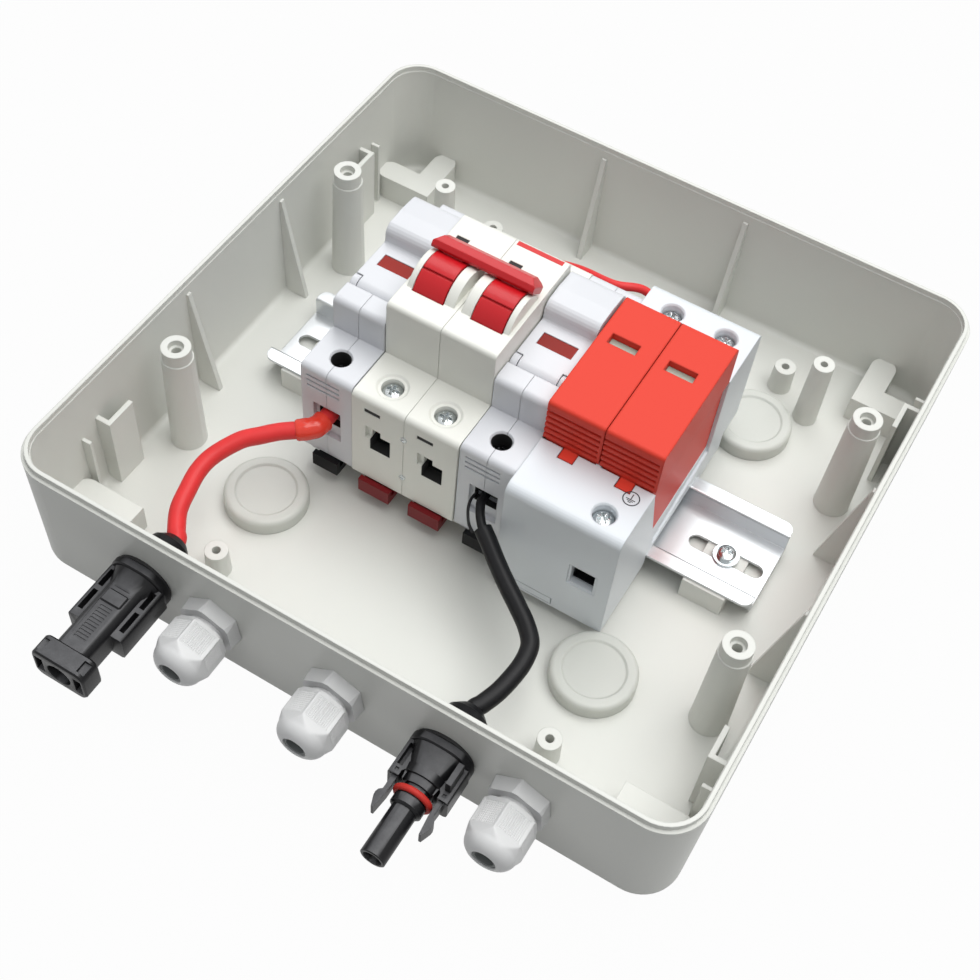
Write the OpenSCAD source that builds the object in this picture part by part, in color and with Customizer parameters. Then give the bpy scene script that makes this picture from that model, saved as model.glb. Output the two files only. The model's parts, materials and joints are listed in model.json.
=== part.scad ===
// Solar combiner box: an open enclosure base with fused strings, a two pole
// breaker and a surge arrester on one mounting rail, seen without its lid.
// The rail lies along X, the cable entries face -Y, the underside is z = 0.

/* [Enclosure] */
// Length of the box along the rail, over its outer wall
box_l = 214; // [206:1:240]
// Width of the box across the rail, over its outer wall
box_w = 210; // [200:1:240]
// Height from the underside to the top of the tongue
box_h = 48; // [47:0.5:60]
// Thickness of the side walls
wall_t = 2.6; // [2.2:0.1:3.6]
// Thickness of the floor
floor_t = 2.5; // [2:0.1:4]
// Radius of the four upright corners
corner_r = 13; // [9:1:18]
// Draft: how far the foot of each wall lies inside its top
wall_draft = 0.8; // [0:0.1:1.6]
// Radius along the outer bottom edge
bottom_edge_r = 3.5; // [1.5:0.5:5]
// Height of the sealing tongue on the rim
tongue_h = 1.9; // [1:0.1:3]
// Thickness of the sealing tongue
tongue_t = 1.2; // [0.8:0.1:1.4]
// Width of the ledge outside the tongue
ledge_t = 1.1; // [0.6:0.1:1.2]

/* [Lid posts] */
// Distance between the lid posts along the rail
post_spacing_x = 185; // [180:1:190]
// Distance between the lid posts across the rail
post_spacing_y = 91; // [84:1:100]
// How far the posts stop below the tongue
post_drop = 2; // [0.5:0.5:6]
// Diameter of a post at its foot
post_foot_d = 11.6; // [10.5:0.1:13]
// Diameter of a post at its collar
post_top_d = 9.1; // [8:0.1:9.6]
// Diameter of the screw hole in a post
post_hole_d = 3; // [2.5:0.1:4]
// Depth of the screw hole in a post
post_hole_depth = 22; // [10:1:30]

/* [Small bosses and pads] */
// Distance between the tall slim bosses along the rail
slim_spacing_x = 142; // [136:1:150]
// Distance of the slim bosses behind the box centre
slim_y = 73; // [68:1:76]
// Height of the slim bosses above the floor
slim_h = 27; // [20:1:36]
// Distance between the short bosses along the rail
short_spacing_x = 113.4; // [110:0.2:122]
// Distance between the short bosses across the rail
short_spacing_y = 161; // [156:1:166]
// Distance of the short bosses' middle to the right of the box centre
short_x = 1.6; // [0:0.2:2]
// Height of the short bosses above the floor
short_h = 10; // [6:1:14]
// Height of the corner pads above the floor
pad_h = 10; // [6:1:14]
// Distance between the side ribs, across the rail
rib_spacing = 49; // [44:1:56]
// Thickness of the ribs
rib_t = 1.8; // [1.2:0.1:2.6]

/* [Round plugs] */
// Diameter of the flange of a round plug
plug_flange_d = 26.4; // [24:0.5:30]
// Height of a plug flange above the floor
plug_flange_h = 5.5; // [3:0.5:6]
// Diameter of the floor hole that a plug closes
plug_hole_d = 20; // [16:0.5:22]
// Distance between the plugs along the rail
plug_spacing_x = 115.5; // [112:0.5:124]
// Distance between the plugs across the rail
plug_spacing_y = 110; // [104:1:118]
// Distance of the plugs' middle behind the box centre
plug_y = 3; // [0:0.5:4]

/* [Mounting rail] */
// Length of the rail
rail_l = 175; // [165:1:180]
// Width of the rail over its lips
rail_w = 35; // [35:0.5:36]
// Height of the rail
rail_h = 7.5; // [7:0.5:9]
// Sheet thickness of the rail
rail_t = 1; // [0.8:0.1:1.2]
// Height of the rail's lip face above the underside
rail_z = 12; // [12:0.5:16]
// Distance of the rail behind the box centre
rail_y = 6; // [2:1:8]
// Length of a slot in the rail
slot_l = 25; // [18:1:28]
// Width of a slot in the rail
slot_w = 5.2; // [4.6:0.1:6.2]
// Distance between the two fixing screws
rail_screw_spacing = 146; // [144:1:148]

/* [Fuse holders] */
// Width of a fuse holder
fuse_w = 17.8; // [17.5:0.1:18.2]
// Height of a fuse holder's deck above the rail
fuse_deck_z = 39.8; // [38.5:0.1:40.5]
// Height of the front of a fuse holder's nose above the rail
fuse_nose_z = 52; // [51:0.5:53]
// Diameter of a cylindrical fuse
fuse_d = 10.3; // [9.8:0.1:10.4]
// Length of a cylindrical fuse
fuse_l = 38; // [36:1:38]

/* [Breaker] */
// Width of the two pole breaker
breaker_w = 36; // [35.6:0.1:36.4]
// Height of the breaker's deck above the rail
breaker_deck_z = 39.5; // [38:0.5:42]
// Height of the breaker's nose above the rail
breaker_nose_z = 60.5; // [60:0.1:60.6]
// Radius of the toggle barrels
toggle_r = 10; // [9.6:0.1:10]
// Lean of the toggle behind upright when it is switched on
toggle_lean = 39; // [36:1:39]

/* [Arrester] */
// Width of the surge arrester
arrester_w = 36.4; // [36:0.1:37]
// Height of the arrester's deck above the rail
arrester_deck_z = 41; // [40:0.5:43]
// Height of the plug-in modules above the rail
module_top_z = 57; // [55:0.5:60]

/* [Cable entries] */
// Height of the cable entries above the underside
entry_z = 25.5; // [22:0.5:30]
// Position of the socket along the rail
socket_x = -60.3; // [-62:0.5:-57]
// Position of the plug along the rail
plug_x = 38.5; // [36:0.5:39]
// Positions of the three glands along the rail
gland_x = [-36, 4.5, 62.5];
// Diameter of a gland thread
gland_thread_d = 12.4; // [12:0.1:12.8]
// Width across the flats of a gland's hexagon
gland_hex = 16; // [15.5:0.5:17]
// Width across the flats of a gland's cap nut
gland_cap_hex = 15; // [14.5:0.1:15.4]
// Diameter of the cable hole in a gland's seal
gland_bore = 5.6; // [4:0.1:6.2]
// Diameter of the connector thread
connector_thread_d = 12.2; // [11.5:0.1:12.6]
// Diameter of the collar that holds the plug's seal ring
plug_collar_d = 9.4; // [9:0.1:9.8]
// Diameter of the plug's tube
plug_tube_d = 7.4; // [6.8:0.1:7.6]

// Diameter of the socket's contact pin
socket_pin_d = 3; // [2.8:0.1:3]

/* [Leads] */
// Diameter of the leads
lead_d = 5.4; // [4.8:0.1:6.2]

/* [Fits] */
// Gap between parts that move past each other
move_gap = 0.3; // [0.3:0.05:0.4]
// Gap between parts that are assembled and stay put
seat_gap = 0.1; // [0.05:0.05:0.2]
// Gap between two devices on the rail
device_gap = 0.3; // [0.3:0.05:0.5]
// Radial clearance of a pivot in its bearing
pivot_gap = 0.05; // [0.03:0.01:0.08]

/* [Hidden] */
$fn = 48;
inner_l = box_l - 2 * wall_t;
inner_w = box_w - 2 * wall_t;
rim_z = box_h - tongue_h;
post_top_z = box_h - post_drop;
fuse_a_x = -55.8;
breaker_x = fuse_a_x + fuse_w + device_gap;
fuse_b_x = breaker_x + breaker_w + device_gap;
arrester_x = fuse_b_x + fuse_w + device_gap;

// Rail section, measured from the lip face and the rail's centre line
rail_web_w = rail_w - 8;
web_top_z = rail_t - rail_h;
support_l = 14;

// Foot that every device stands on the rail with
foot_y = 36;
foot_z = -5;
foot_top_z = 2;
hook_y = rail_w / 2 + move_gap;
hook_tip_y = rail_w / 2 - 2.1;
clip_top_z = -rail_t - move_gap;
clip_h = 2.6;
clip_tip_y = -(rail_w / 2 - 2.1);
clip_travel = 3;

// Fuse holder: the carrier swings about a pivot in the nose
fuse_front_y = -40;
fuse_nose_y = 22.8;
fuse_pivot = [-12, fuse_nose_z - 3];
fuse_barrel_r = 3;
fuse_stud_r = 1.2;
fuse_wall_t = 2.4;
fuse_side_top_z = fuse_pivot[1] - fuse_barrel_r - move_gap;
fuse_axis_z = fuse_nose_z - 12.5;
fuse_y0 = -19.8;
fuse_slot_z = fuse_nose_z - 20;
fuse_slot_y = [fuse_y0 - 0.5, 20.8];
fuse_bump_z = fuse_nose_z + 6.3;
fuse_well = [fuse_w / 2, 32];
fuse_well_d = 6.2;
fuse_cage_z = 16;
window_size = [11.4, 5];
window_y = -2.2;
jaw_gap = 0.3;

// Breaker
breaker_front_y = 40.5;
breaker_nose_y = [-22.5, 21];
pole_w = breaker_w / 2;
pole_seam = 0.1;
toggle_axis = [-5, breaker_nose_z - 4.5];
toggle_x = [3.3, 13.3];
cheek_r = toggle_r - 0.35;
bar_r = [toggle_r + 0.25, toggle_r + 4.5];
bar_half = 3.7;
bar_end = 1.2;
arm_x = [4.8, 11.8];
toggle_pin_r = 1.5;
breaker_well_y = 32.5;
breaker_well_d = 6.8;
breaker_screw_d = 6.2;

// Arrester
arrester_y = [-46, 46.5];
module_y = [-25.2, 22.6];
bay_gap = 0.3;
arrester_wall_t = 0.8;
bay_z = 9;
head_gap = 0.3;
module_seam = 0.3;
arrester_wells = [[27.4, -38.9], [10, 38], [28, 38]];
arrester_well_d = 6.8;
latch_w = 4.6;
latch_y = -29;
latch_x = 9.4;
flag_size = [9, 4];
flag_offset = [-1.2, 4.9];
arrester_clip_x = 13.3;
arrester_blade_y = [-16, 13];
bay_wall = arrester_wall_t + bay_gap;

// Front wall, where the cable entries sit
front_y = -(box_w / 2 - wall_draft * (rim_z - entry_z) / rim_z) - 0.15;
front_inner_y = front_y + wall_t + 0.35;
gland_hole_d = gland_thread_d + 0.4;
connector_hole_d = connector_thread_d + 0.4;
gasket_t = 0.8;
gland_turn = 23;
cap_root = 6.1;
nut_t = 4;

// Routes of the leads, from the panel connectors to the fuse holders
lead_start_y = front_inner_y + nut_t - 1;
wire_end = [rail_y + fuse_front_y, rail_z + fuse_cage_z + 4.6];
fuse_a_wire_x = fuse_a_x + fuse_w / 2;
fuse_b_wire_x = fuse_b_x + fuse_w / 2;
wall_exit = lead_start_y + 8.2;
positive_bow = [[0.173, -4.6, -1.2], [0.263, -9.4, -1.4], [0.365, -12.5, -1.1], [0.473, -15.0, -0.9],
    [0.57, -15.4, -0.5], [0.688, -13.1, 0.1], [0.753, -9.8, 0.5], [0.816, -6.2, 0.7]];
positive_route = concat([[socket_x, lead_start_y, entry_z], [socket_x, wall_exit, entry_z]],
    bowed([socket_x, lead_start_y, entry_z], [fuse_a_wire_x, wire_end[0], wire_end[1]], positive_bow),
    [[fuse_a_wire_x - 4, wire_end[0] - 8.4, wire_end[1] - 0.2], [fuse_a_wire_x - 0.7, wire_end[0] - 5.2, wire_end[1]],
    [fuse_a_wire_x, wire_end[0] - 1.5, wire_end[1]], [fuse_a_wire_x, wire_end[0] + 5, wire_end[1]]]);
negative_bow = [[0.175, 6.7, -1.2], [0.269, 11.5, -1.8], [0.388, 16.3, -2.3], [0.469, 18.7, -2.5],
    [0.528, 19.3, -2.5], [0.587, 17.6, -2.5], [0.639, 14.5, -2.0], [0.701, 10.4, -1.5],
    [0.766, 6.6, -0.9], [0.827, 3.4, -0.4]];
negative_route = concat([[plug_x, lead_start_y, entry_z], [plug_x, wall_exit, entry_z]],
    bowed([plug_x, lead_start_y, entry_z], [fuse_b_wire_x, wire_end[0], wire_end[1]], negative_bow),
    [[fuse_b_wire_x + 5.1, wire_end[0] - 8.6, wire_end[1] - 0.6]]);
// The bared core goes on from the end of the black jacket
core_d = 2.8;
core_route = [[fuse_b_wire_x + 7.4, wire_end[0] - 10.1, wire_end[1] - 1.1], [fuse_b_wire_x + 5.1, wire_end[0] - 8.6, wire_end[1] - 0.6],
    [fuse_b_wire_x + 2.7, wire_end[0] - 6, wire_end[1] + 0.1], [fuse_b_wire_x + 1, wire_end[0] - 3.2, wire_end[1] + 0.3],
    [fuse_b_wire_x, wire_end[0] - 0.5, wire_end[1] + 0.3], [fuse_b_wire_x, wire_end[0] + 5, wire_end[1]]];
// Strip of the jacket that is peeled back beside the core
peel_route = [[fuse_b_wire_x + 3.3, wire_end[0] - 11.2, wire_end[1] - 0.6], [fuse_b_wire_x + 0.8, wire_end[0] - 9.3, wire_end[1] - 0.4],
    [fuse_b_wire_x - 1.6, wire_end[0] - 5.8, wire_end[1] + 0.4], [fuse_b_wire_x - 2.6, wire_end[0] - 2.6, wire_end[1] + 0.8],
    [fuse_b_wire_x - 2.5, wire_end[0] + 0.4, wire_end[1] + 0.7]];

// Short leads behind the devices: fuse to breaker, and breaker to arrester
jumper_d = 2.8;
back_y = rail_y + breaker_front_y;
pole_a_x = breaker_x + pole_w / 2;
pole_b_x = breaker_x + 1.5 * pole_w;
pole_z = rail_z + 20.4;
tail_z = rail_z + 14.6;
arrester_back_y = rail_y + arrester_y[1];
entry_mid = 0.35;
side_step = jumper_d / 2 + 0.05;
tail_a_x = arrester_x + arrester_wells[1][0];
tail_b_x = arrester_x + arrester_wells[2][0];
pole_a_in = pole_a_x + entry_mid - side_step;
pole_a_out = pole_a_x + entry_mid + side_step;
pole_b_in = pole_b_x + entry_mid + side_step;
pole_b_out = pole_b_x + entry_mid - side_step;
positive_jumpers = [
    [[fuse_a_wire_x, back_y - 6, wire_end[1]], [fuse_a_wire_x, back_y + 3, wire_end[1]], [fuse_a_wire_x + 3, back_y + 8, rail_z + 21],
        [pole_a_in - 3.3, back_y + 7, rail_z + 20], [pole_a_in, back_y + 3, pole_z], [pole_a_in, back_y - 7, pole_z]],
    [[pole_a_out, back_y - 7, pole_z], [pole_a_out, back_y + 3, pole_z], [pole_a_out + 3, back_y + 8, rail_z + 24],
        [pole_b_x + 0.7, back_y + 6, rail_z + 31], [fuse_b_wire_x - 3.5, back_y + 4, rail_z + 34],
        [fuse_b_wire_x + 5.5, arrester_back_y + 2.5, rail_z + 32.5], [arrester_x + 5.3, arrester_back_y + 4, rail_z + 25],
        [tail_a_x, arrester_back_y + 5, tail_z + 3], [tail_a_x, arrester_back_y + 2, tail_z], [tail_a_x, arrester_back_y - 10, tail_z]]];
negative_jumpers = [
    [[fuse_b_wire_x, back_y - 6, wire_end[1]], [fuse_b_wire_x, back_y + 3, wire_end[1]], [fuse_b_wire_x - 4, back_y + 8, rail_z + 22],
        [pole_b_in + 4.2, back_y + 8, rail_z + 22], [pole_b_in, back_y + 3, pole_z], [pole_b_in, back_y - 7, pole_z]],
    [[pole_b_out, back_y - 7, pole_z], [pole_b_out, back_y + 3, pole_z], [pole_b_out + 3, back_y + 10, rail_z + 15],
        [fuse_b_wire_x - 3.5, back_y + 13, rail_z + 11], [arrester_x + 3.3, arrester_back_y + 11, rail_z + 9],
        [arrester_x + 19.3, arrester_back_y + 11, rail_z + 10], [tail_b_x, arrester_back_y + 7, tail_z - 1],
        [tail_b_x, arrester_back_y + 2, tail_z], [tail_b_x, arrester_back_y - 10, tail_z]]];

// Points on an arc about c, from angle a0 to a1
function arc(c, r, a0, a1, n = 6) =
    [for (i = [0:n]) c + r * [cos(a0 + (a1 - a0) * i / n), sin(a0 + (a1 - a0) * i / n)]];

// Points on the way from a to b: each row holds the part of the way and how far it lies aside and up
function bowed(a, b, rows) = [for (r = rows) a + r[0] * (b - a) + [r[1], 0, r[2]]];

// Extrudes a section drawn in (y, z) along X from x0 to x1
module along_x(x0, x1) {
    translate([x0, 0, 0]) rotate([90, 0, 90]) linear_extrude(x1 - x0) children();
}

// Cylinder whose axis points towards -Y, from y0 outwards
module rod_y(x, z, y0, len, d, d2 = undef) {
    translate([x, y0, z]) rotate([90, 0, 0]) cylinder(h = len, d1 = d, d2 = is_undef(d2) ? d : d2);
}

// Box between two corners
module block(a, b) {
    translate(a) cube(b - a);
}

module rounded_plate(l, w, r) {
    square([l - 2 * r, w], center = true);
    square([l, w - 2 * r], center = true);
    for (x = [-1, 1], y = [-1, 1]) translate([x * (l / 2 - r), y * (w / 2 - r)]) circle(r);
}

// Slot outline along X, with round ends
module slot_outline(l, w) {
    square([l - w, w], center = true);
    for (x = [-1, 1]) translate([x * (l - w) / 2, 0]) circle(d = w);
}

// Solid with drafted sides, conical corners and a rounded lower edge
module tray_solid(l, w, r, z0, z1, draft, edge_r) {
    side = concat(arc([r - draft - edge_r, z0 + edge_r], edge_r, -90, 0), [[r, z1]]);
    half_l = l / 2 - r;
    half_w = w / 2 - r;
    for (q = [0:3]) {
        sx = q == 0 || q == 3 ? 1 : -1;
        sy = q < 2 ? 1 : -1;
        translate([sx * half_l, sy * half_w, 0]) rotate(90 * q)
            rotate_extrude(angle = 90, $fn = 64) polygon(concat([[0, z0]], side, [[0, z1]]));
    }
    n = len(side) - 1;
    along_x(-half_l, half_l) polygon(concat([for (p = side) [p[0] + half_w, p[1]]],
        [for (i = [n:-1:0]) [-side[i][0] - half_w, side[i][1]]]));
    rotate(90) along_x(-half_w, half_w) polygon(concat([for (p = side) [p[0] + half_l, p[1]]],
        [for (i = [n:-1:0]) [-side[i][0] - half_l, side[i][1]]]));
}

module at_corners(dx, dy) {
    for (x = [-1, 1], y = [-1, 1]) translate([x * dx / 2, y * dy / 2, 0]) children();
}

// Enclosure

module lid_post() {
    collar_h = 4.5;
    cylinder(h = post_top_z - collar_h, d1 = post_foot_d, d2 = post_top_d + 0.8);
    cylinder(h = post_top_z, d = post_top_d);
}

module small_boss(h, d_foot, d_top) {
    cylinder(h = floor_t + h, d1 = d_foot, d2 = d_top);
}

// Pad with two round-ended legs that reach the two walls of a corner
module corner_pad() {
    leg = 8.5;
    knee = [inner_l / 2 - 18, inner_w / 2 - 18];
    linear_extrude(floor_t + pad_h) {
        translate(knee - [leg / 2, leg / 2]) square([14 + leg / 2, leg]);
        translate(knee - [leg / 2, leg / 2]) square([leg, 14 + leg / 2]);
        translate(knee + [14, 0]) circle(d = leg);
        translate(knee + [0, 14]) circle(d = leg);
    }
}

// Triangular rib that stiffens a side wall
module wall_rib() {
    reach = 9;
    along_x(-rib_t / 2, rib_t / 2)
        polygon([[-reach, floor_t - 0.5], [1, floor_t - 0.5], [1, rim_z - 3], [-wall_draft, rim_z - 3]]);
}

// Pocket for the lid strap: a plate before the wall, a web to it and a thin guide rib
module strap_pocket() {
    top = rim_z - 15;
    block([-5.6, 0, floor_t - 0.5], [-4, 11, top]);
    block([-5.6, 0, floor_t - 0.5], [1, 1.6, top]);
    block([-3.4, -7, floor_t - 0.5], [1, -5.8, top - 3]);
}

// Seat under the rail: a low pad with an upright ear below each lip
module rail_support() {
    half = rail_w / 2 + 1;
    web_z = rail_z - rail_h;
    block([-support_l / 2, -half, floor_t - 0.5], [support_l / 2, half, web_z]);
    for (m = [0, 1]) mirror([0, m, 0]) block([-support_l / 2, rail_web_w / 2 + move_gap, web_z - 1],
        [support_l / 2, half, rail_z - rail_t - seat_gap]);
}

module enclosure_base() {
    color([0.83, 0.84, 0.81]) difference() {
        union() {
            difference() {
                tray_solid(box_l, box_w, corner_r, 0, rim_z, wall_draft, bottom_edge_r);
                tray_solid(inner_l, inner_w, corner_r - wall_t, floor_t, rim_z + 1, wall_draft, 2);
            }
            difference() {
                translate([0, 0, rim_z - 3]) linear_extrude(tongue_h + 3)
                    rounded_plate(box_l - 2 * ledge_t, box_w - 2 * ledge_t, corner_r - ledge_t);
                translate([0, 0, rim_z - 4]) linear_extrude(tongue_h + 5)
                    rounded_plate(box_l - 2 * (ledge_t + tongue_t), box_w - 2 * (ledge_t + tongue_t),
                        corner_r - ledge_t - tongue_t);
            }
            at_corners(post_spacing_x, post_spacing_y) lid_post();
            for (s = [-1, 1]) translate([s * slim_spacing_x / 2, slim_y, 0]) small_boss(slim_h, 8.2, 7);
            translate([short_x, 0, 0]) at_corners(short_spacing_x, short_spacing_y) small_boss(short_h, 8, 7.2);
            for (x = [0, 1], y = [0, 1]) mirror([x, 0, 0]) mirror([0, y, 0]) corner_pad();
            for (x = [0, 1], y = [-1, 1]) mirror([x, 0, 0])
                translate([inner_l / 2, y * rib_spacing / 2, 0]) rotate(-90) wall_rib();
            for (s = [-1, 1]) translate([s * 26.5, inner_w / 2, 0]) wall_rib();
            for (x = [0, 1], y = [0, 1]) mirror([x, 0, 0]) mirror([0, y, 0])
                translate([inner_l / 2, -inner_w / 2 + 31, 0]) strap_pocket();
            for (s = [-1, 1]) translate([s * rail_screw_spacing / 2, rail_y, 0]) rail_support();
        }
        at_corners(post_spacing_x, post_spacing_y) {
            translate([0, 0, post_top_z - post_hole_depth]) cylinder(h = post_hole_depth + 1, d = post_hole_d);
            translate([0, 0, post_top_z - 2]) cylinder(h = 3, d = post_hole_d + 1.8);
        }
        for (s = [-1, 1]) translate([s * slim_spacing_x / 2, slim_y, floor_t + slim_h - 12]) cylinder(h = 13, d = 2.4);
        translate([short_x, 0, 0]) at_corners(short_spacing_x, short_spacing_y) translate([0, 0, floor_t + short_h - 8]) cylinder(h = 9, d = 2.6);
        translate([0, plug_y, 0]) at_corners(plug_spacing_x, plug_spacing_y) translate([0, 0, -1])
            cylinder(h = floor_t + 2, d = plug_hole_d);
        for (s = [-1, 1]) translate([s * rail_screw_spacing / 2, rail_y, 0.6]) cylinder(h = 6, d = 3);
        for (x = gland_x) rod_y(x, entry_z, front_y + wall_t + 4, wall_t + 8, gland_hole_d);
        for (x = [socket_x, plug_x]) rod_y(x, entry_z, front_y + wall_t + 4, wall_t + 8, connector_hole_d);
    }
}

// Domed plug with a hollow skirt through the floor
module hole_plugs() {
    skirt_t = 1.6;
    edge = 1.6;
    color([0.93, 0.94, 0.92, 0.8]) translate([0, plug_y, floor_t]) at_corners(plug_spacing_x, plug_spacing_y)
        rotate_extrude() polygon(concat(
            [[0, 2], [0, plug_flange_h - 0.6], [plug_flange_d / 2 - 4, plug_flange_h - 0.6], [plug_flange_d / 2 - 3.4, plug_flange_h]],
            arc([plug_flange_d / 2 - edge, plug_flange_h - edge], edge, 90, 0),
            [[plug_flange_d / 2, 0], [plug_hole_d / 2 - seat_gap, 0], [plug_hole_d / 2 - seat_gap, 0.4 - floor_t],
                [plug_hole_d / 2 - seat_gap - skirt_t, 0.4 - floor_t], [plug_hole_d / 2 - seat_gap - skirt_t, 2]]));
}

// Rail and its fixings

module din_rail() {
    half = rail_w / 2;
    web = rail_web_w / 2;
    in_y = web - rail_t;
    bend = rail_t * 0.8;
    outline = concat(arc([web - bend, -rail_h + bend], bend, -90, 0, 3), [[web, -rail_t], [half, -rail_t], [half, 0]],
        arc([in_y + bend, -bend], bend, 90, 180, 3), [[in_y, web_top_z]]);
    color([0.80, 0.81, 0.82]) translate([0, rail_y, rail_z]) difference() {
        along_x(-rail_l / 2, rail_l / 2) polygon(concat(outline, [for (i = [len(outline) - 1:-1:0]) [-outline[i][0], outline[i][1]]]));
        for (x = [-2:2]) translate([x * rail_screw_spacing / 4, 0, -rail_h - 1])
            linear_extrude(rail_h) slot_outline(slot_l, slot_w);
        for (q = [0, 1], m = [0, 1]) mirror([q, 0, 0]) mirror([0, m, 0]) translate([rail_l / 2 - 3, half - 3, -2])
            linear_extrude(3) difference() {
                square(4);
                circle(3);
            }
    }
}

module rail_washers() {
    color([0.78, 0.79, 0.80]) for (s = [-1, 1])
        translate([s * rail_screw_spacing / 2, rail_y, rail_z + web_top_z]) difference() {
            cylinder(h = 0.8, d = 8.4);
            translate([0, 0, -1]) cylinder(h = 3, d = 4);
        }
}

// Pan head with a cross recess on a plain shank
module cross_screw(head_d, head_h, shank_d, shank_l) {
    difference() {
        union() {
            rotate_extrude() polygon([[0, 0], [head_d / 2, 0], [head_d / 2, head_h * 0.45],
                [head_d / 2 - head_h * 0.4, head_h * 0.9], [head_d / 4, head_h], [0, head_h]]);
            translate([0, 0, -shank_l]) cylinder(h = shank_l + 0.01, d = shank_d);
        }
        for (a = [0, 90]) rotate(a) translate([-head_d * 0.32, -head_d * 0.06, head_h * 0.45])
            cube([head_d * 0.64, head_d * 0.12, head_h]);
    }
}

module rail_screws() {
    color([0.80, 0.80, 0.78]) for (s = [-1, 1])
        translate([s * rail_screw_spacing / 2, rail_y, rail_z + web_top_z + 0.8])
            rotate(30) cross_screw(5.8, 2, 2.9, rail_z + web_top_z - 0.4);
}

// Shared pieces of the rail devices, drawn from the rail's lip face

// Underside of a device: front foot, seat on the lips, hook below the rear lip
function foot_outline(front, rear, low_front) = concat(
    low_front ? [[front, foot_z]] : [[front, foot_top_z], [-foot_y, foot_top_z], [-foot_y, foot_z]],
    [[-hook_y - 1.5, foot_z], [-hook_y, foot_z + 1.5], [-hook_y, 0], [hook_y, 0], [hook_y, -rail_t - 0.15],
    [hook_tip_y, -rail_t - 0.15], [hook_tip_y, -rail_t - 1.6], [hook_y + 1.2, foot_z], [foot_y, foot_z],
    [foot_y, foot_top_z], [rear, foot_top_z]]);

module clip_channel(x, w, front) {
    block([x - w / 2 - move_gap, front - 1, clip_top_z - clip_h - move_gap],
        [x + w / 2 + move_gap, -hook_y + 1, clip_top_z + move_gap]);
}

// Sliding clip with a bevelled toe under the front lip and a turned-up pull tab
module rail_clip(x, w, front, has_tab) {
    bottom = clip_top_z - clip_h;
    tab_t = 1.8;
    tab_z = foot_top_z - move_gap;
    head = has_tab ? [[front + tab_t, clip_top_z], [front + tab_t, tab_z], [front, tab_z]] : [[front, clip_top_z]];
    difference() {
        along_x(x - w / 2, x + w / 2) polygon(concat([[front, bottom], [clip_tip_y - 1.2, bottom],
            [clip_tip_y, clip_top_z - 0.8], [clip_tip_y, clip_top_z]], head));
        block([x - w / 4, front + 5, bottom - 1], [x + w / 4, front + 8, clip_top_z + 1]);
    }
}

// Wire cage of a terminal: a square frame open towards the wire
module wire_cage(x, y, z0, w, h, len) {
    translate([x, y + len / 2, z0]) rotate([90, 0, 0]) linear_extrude(len) difference() {
        translate([-w / 2, 0]) square([w, h]);
        translate([-w / 2 + 1, 1]) square([w - 2, h - 2.6]);
    }
}

// Fuse holders

module fuse_profile() {
    f = fuse_front_y;
    z = fuse_deck_z;
    n = fuse_nose_y;
    nose_end = fuse_pivot[0] - fuse_barrel_r - move_gap;
    polygon(concat(foot_outline(f, -f, false), arc([-f - 2, z - 2], 2, 0, 90), [[20.3, z], [20.3, fuse_side_top_z],
        [fuse_pivot[0], fuse_side_top_z], fuse_pivot, [nose_end, fuse_pivot[1]], [nose_end, fuse_nose_z]],
        arc([-n + 2, fuse_nose_z - 2], 2, 90, 180), [[-n, z]], arc([f + 2, z - 2], 2, 90, 180)));
    translate(fuse_pivot) circle(fuse_barrel_r);
}

module fuse_case() {
    cx = fuse_w / 2;
    difference() {
        along_x(0, fuse_w) fuse_profile();
        // pocket for the carrier's barrel, and the slot that the fuse lies in
        along_x(fuse_wall_t - 0.2, fuse_w - fuse_wall_t + 0.2) translate(fuse_pivot) circle(fuse_barrel_r + move_gap);
        along_x(fuse_wall_t, fuse_w - fuse_wall_t) polygon([[fuse_slot_y[0], fuse_slot_z],
            [fuse_slot_y[0], fuse_side_top_z - 0.8], [fuse_pivot[0], fuse_side_top_z - 0.8], [fuse_pivot[0], fuse_nose_z + 9],
            [fuse_nose_y + 9, fuse_nose_z + 9], [fuse_nose_y + 9, fuse_deck_z], [fuse_slot_y[1], fuse_deck_z],
            [fuse_slot_y[1], fuse_slot_z]]);
        for (x = [0.5, fuse_w - 2.5]) translate([x, fuse_pivot[0], fuse_pivot[1]])
            rotate([0, 90, 0]) cylinder(h = 2, r = fuse_stud_r + pivot_gap);
        for (s = [-1, 1]) {
            // screw well, wire chamber and wire entry at each end
            translate([cx, s * fuse_well[1], 22]) cylinder(h = 30, d = fuse_well_d);
            translate([cx, s * fuse_well[1], fuse_deck_z - 0.7]) cylinder(h = 2, d1 = fuse_well_d, d2 = fuse_well_d + 2.4);
            m = s < 0 ? 0 : 1;
            mirror([0, m, 0]) {
                block([cx - 4.6, -36.5, fuse_cage_z - 0.4], [cx + 4.6, -26.5, fuse_cage_z + 9.8]);
                block([cx - 3.8, fuse_front_y - 1, fuse_cage_z - 0.4], [cx + 3.8, -36, fuse_cage_z + 8.6]);
                block([cx - 4.75, fuse_front_y - 1, 11.5], [cx + 4.75, fuse_front_y + 1.8, fuse_cage_z + 8.6]);
            }
        }
        // passage for the contact strips below the slot
        block([cx - 3.7, -30, fuse_slot_z - 1.2], [cx + 3.7, 30, fuse_slot_z + 0.01]);
        for (i = [0:2]) block([2, fuse_front_y - 1, fuse_deck_z - 8.6 + i * 2.2], [fuse_w - 4.4, fuse_front_y + 0.7, fuse_deck_z - 7.8 + i * 2.2]);
        clip_channel(cx, 9, fuse_front_y);
    }
}

module fuse_case_half(side) {
    color([0.86, 0.87, 0.90]) intersection() {
        fuse_case();
        block([side == 0 ? -1 : fuse_w / 2 + 0.05, -60, -20], [side == 0 ? fuse_w / 2 - 0.05 : fuse_w + 1, 60, 90]);
    }
}

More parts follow.
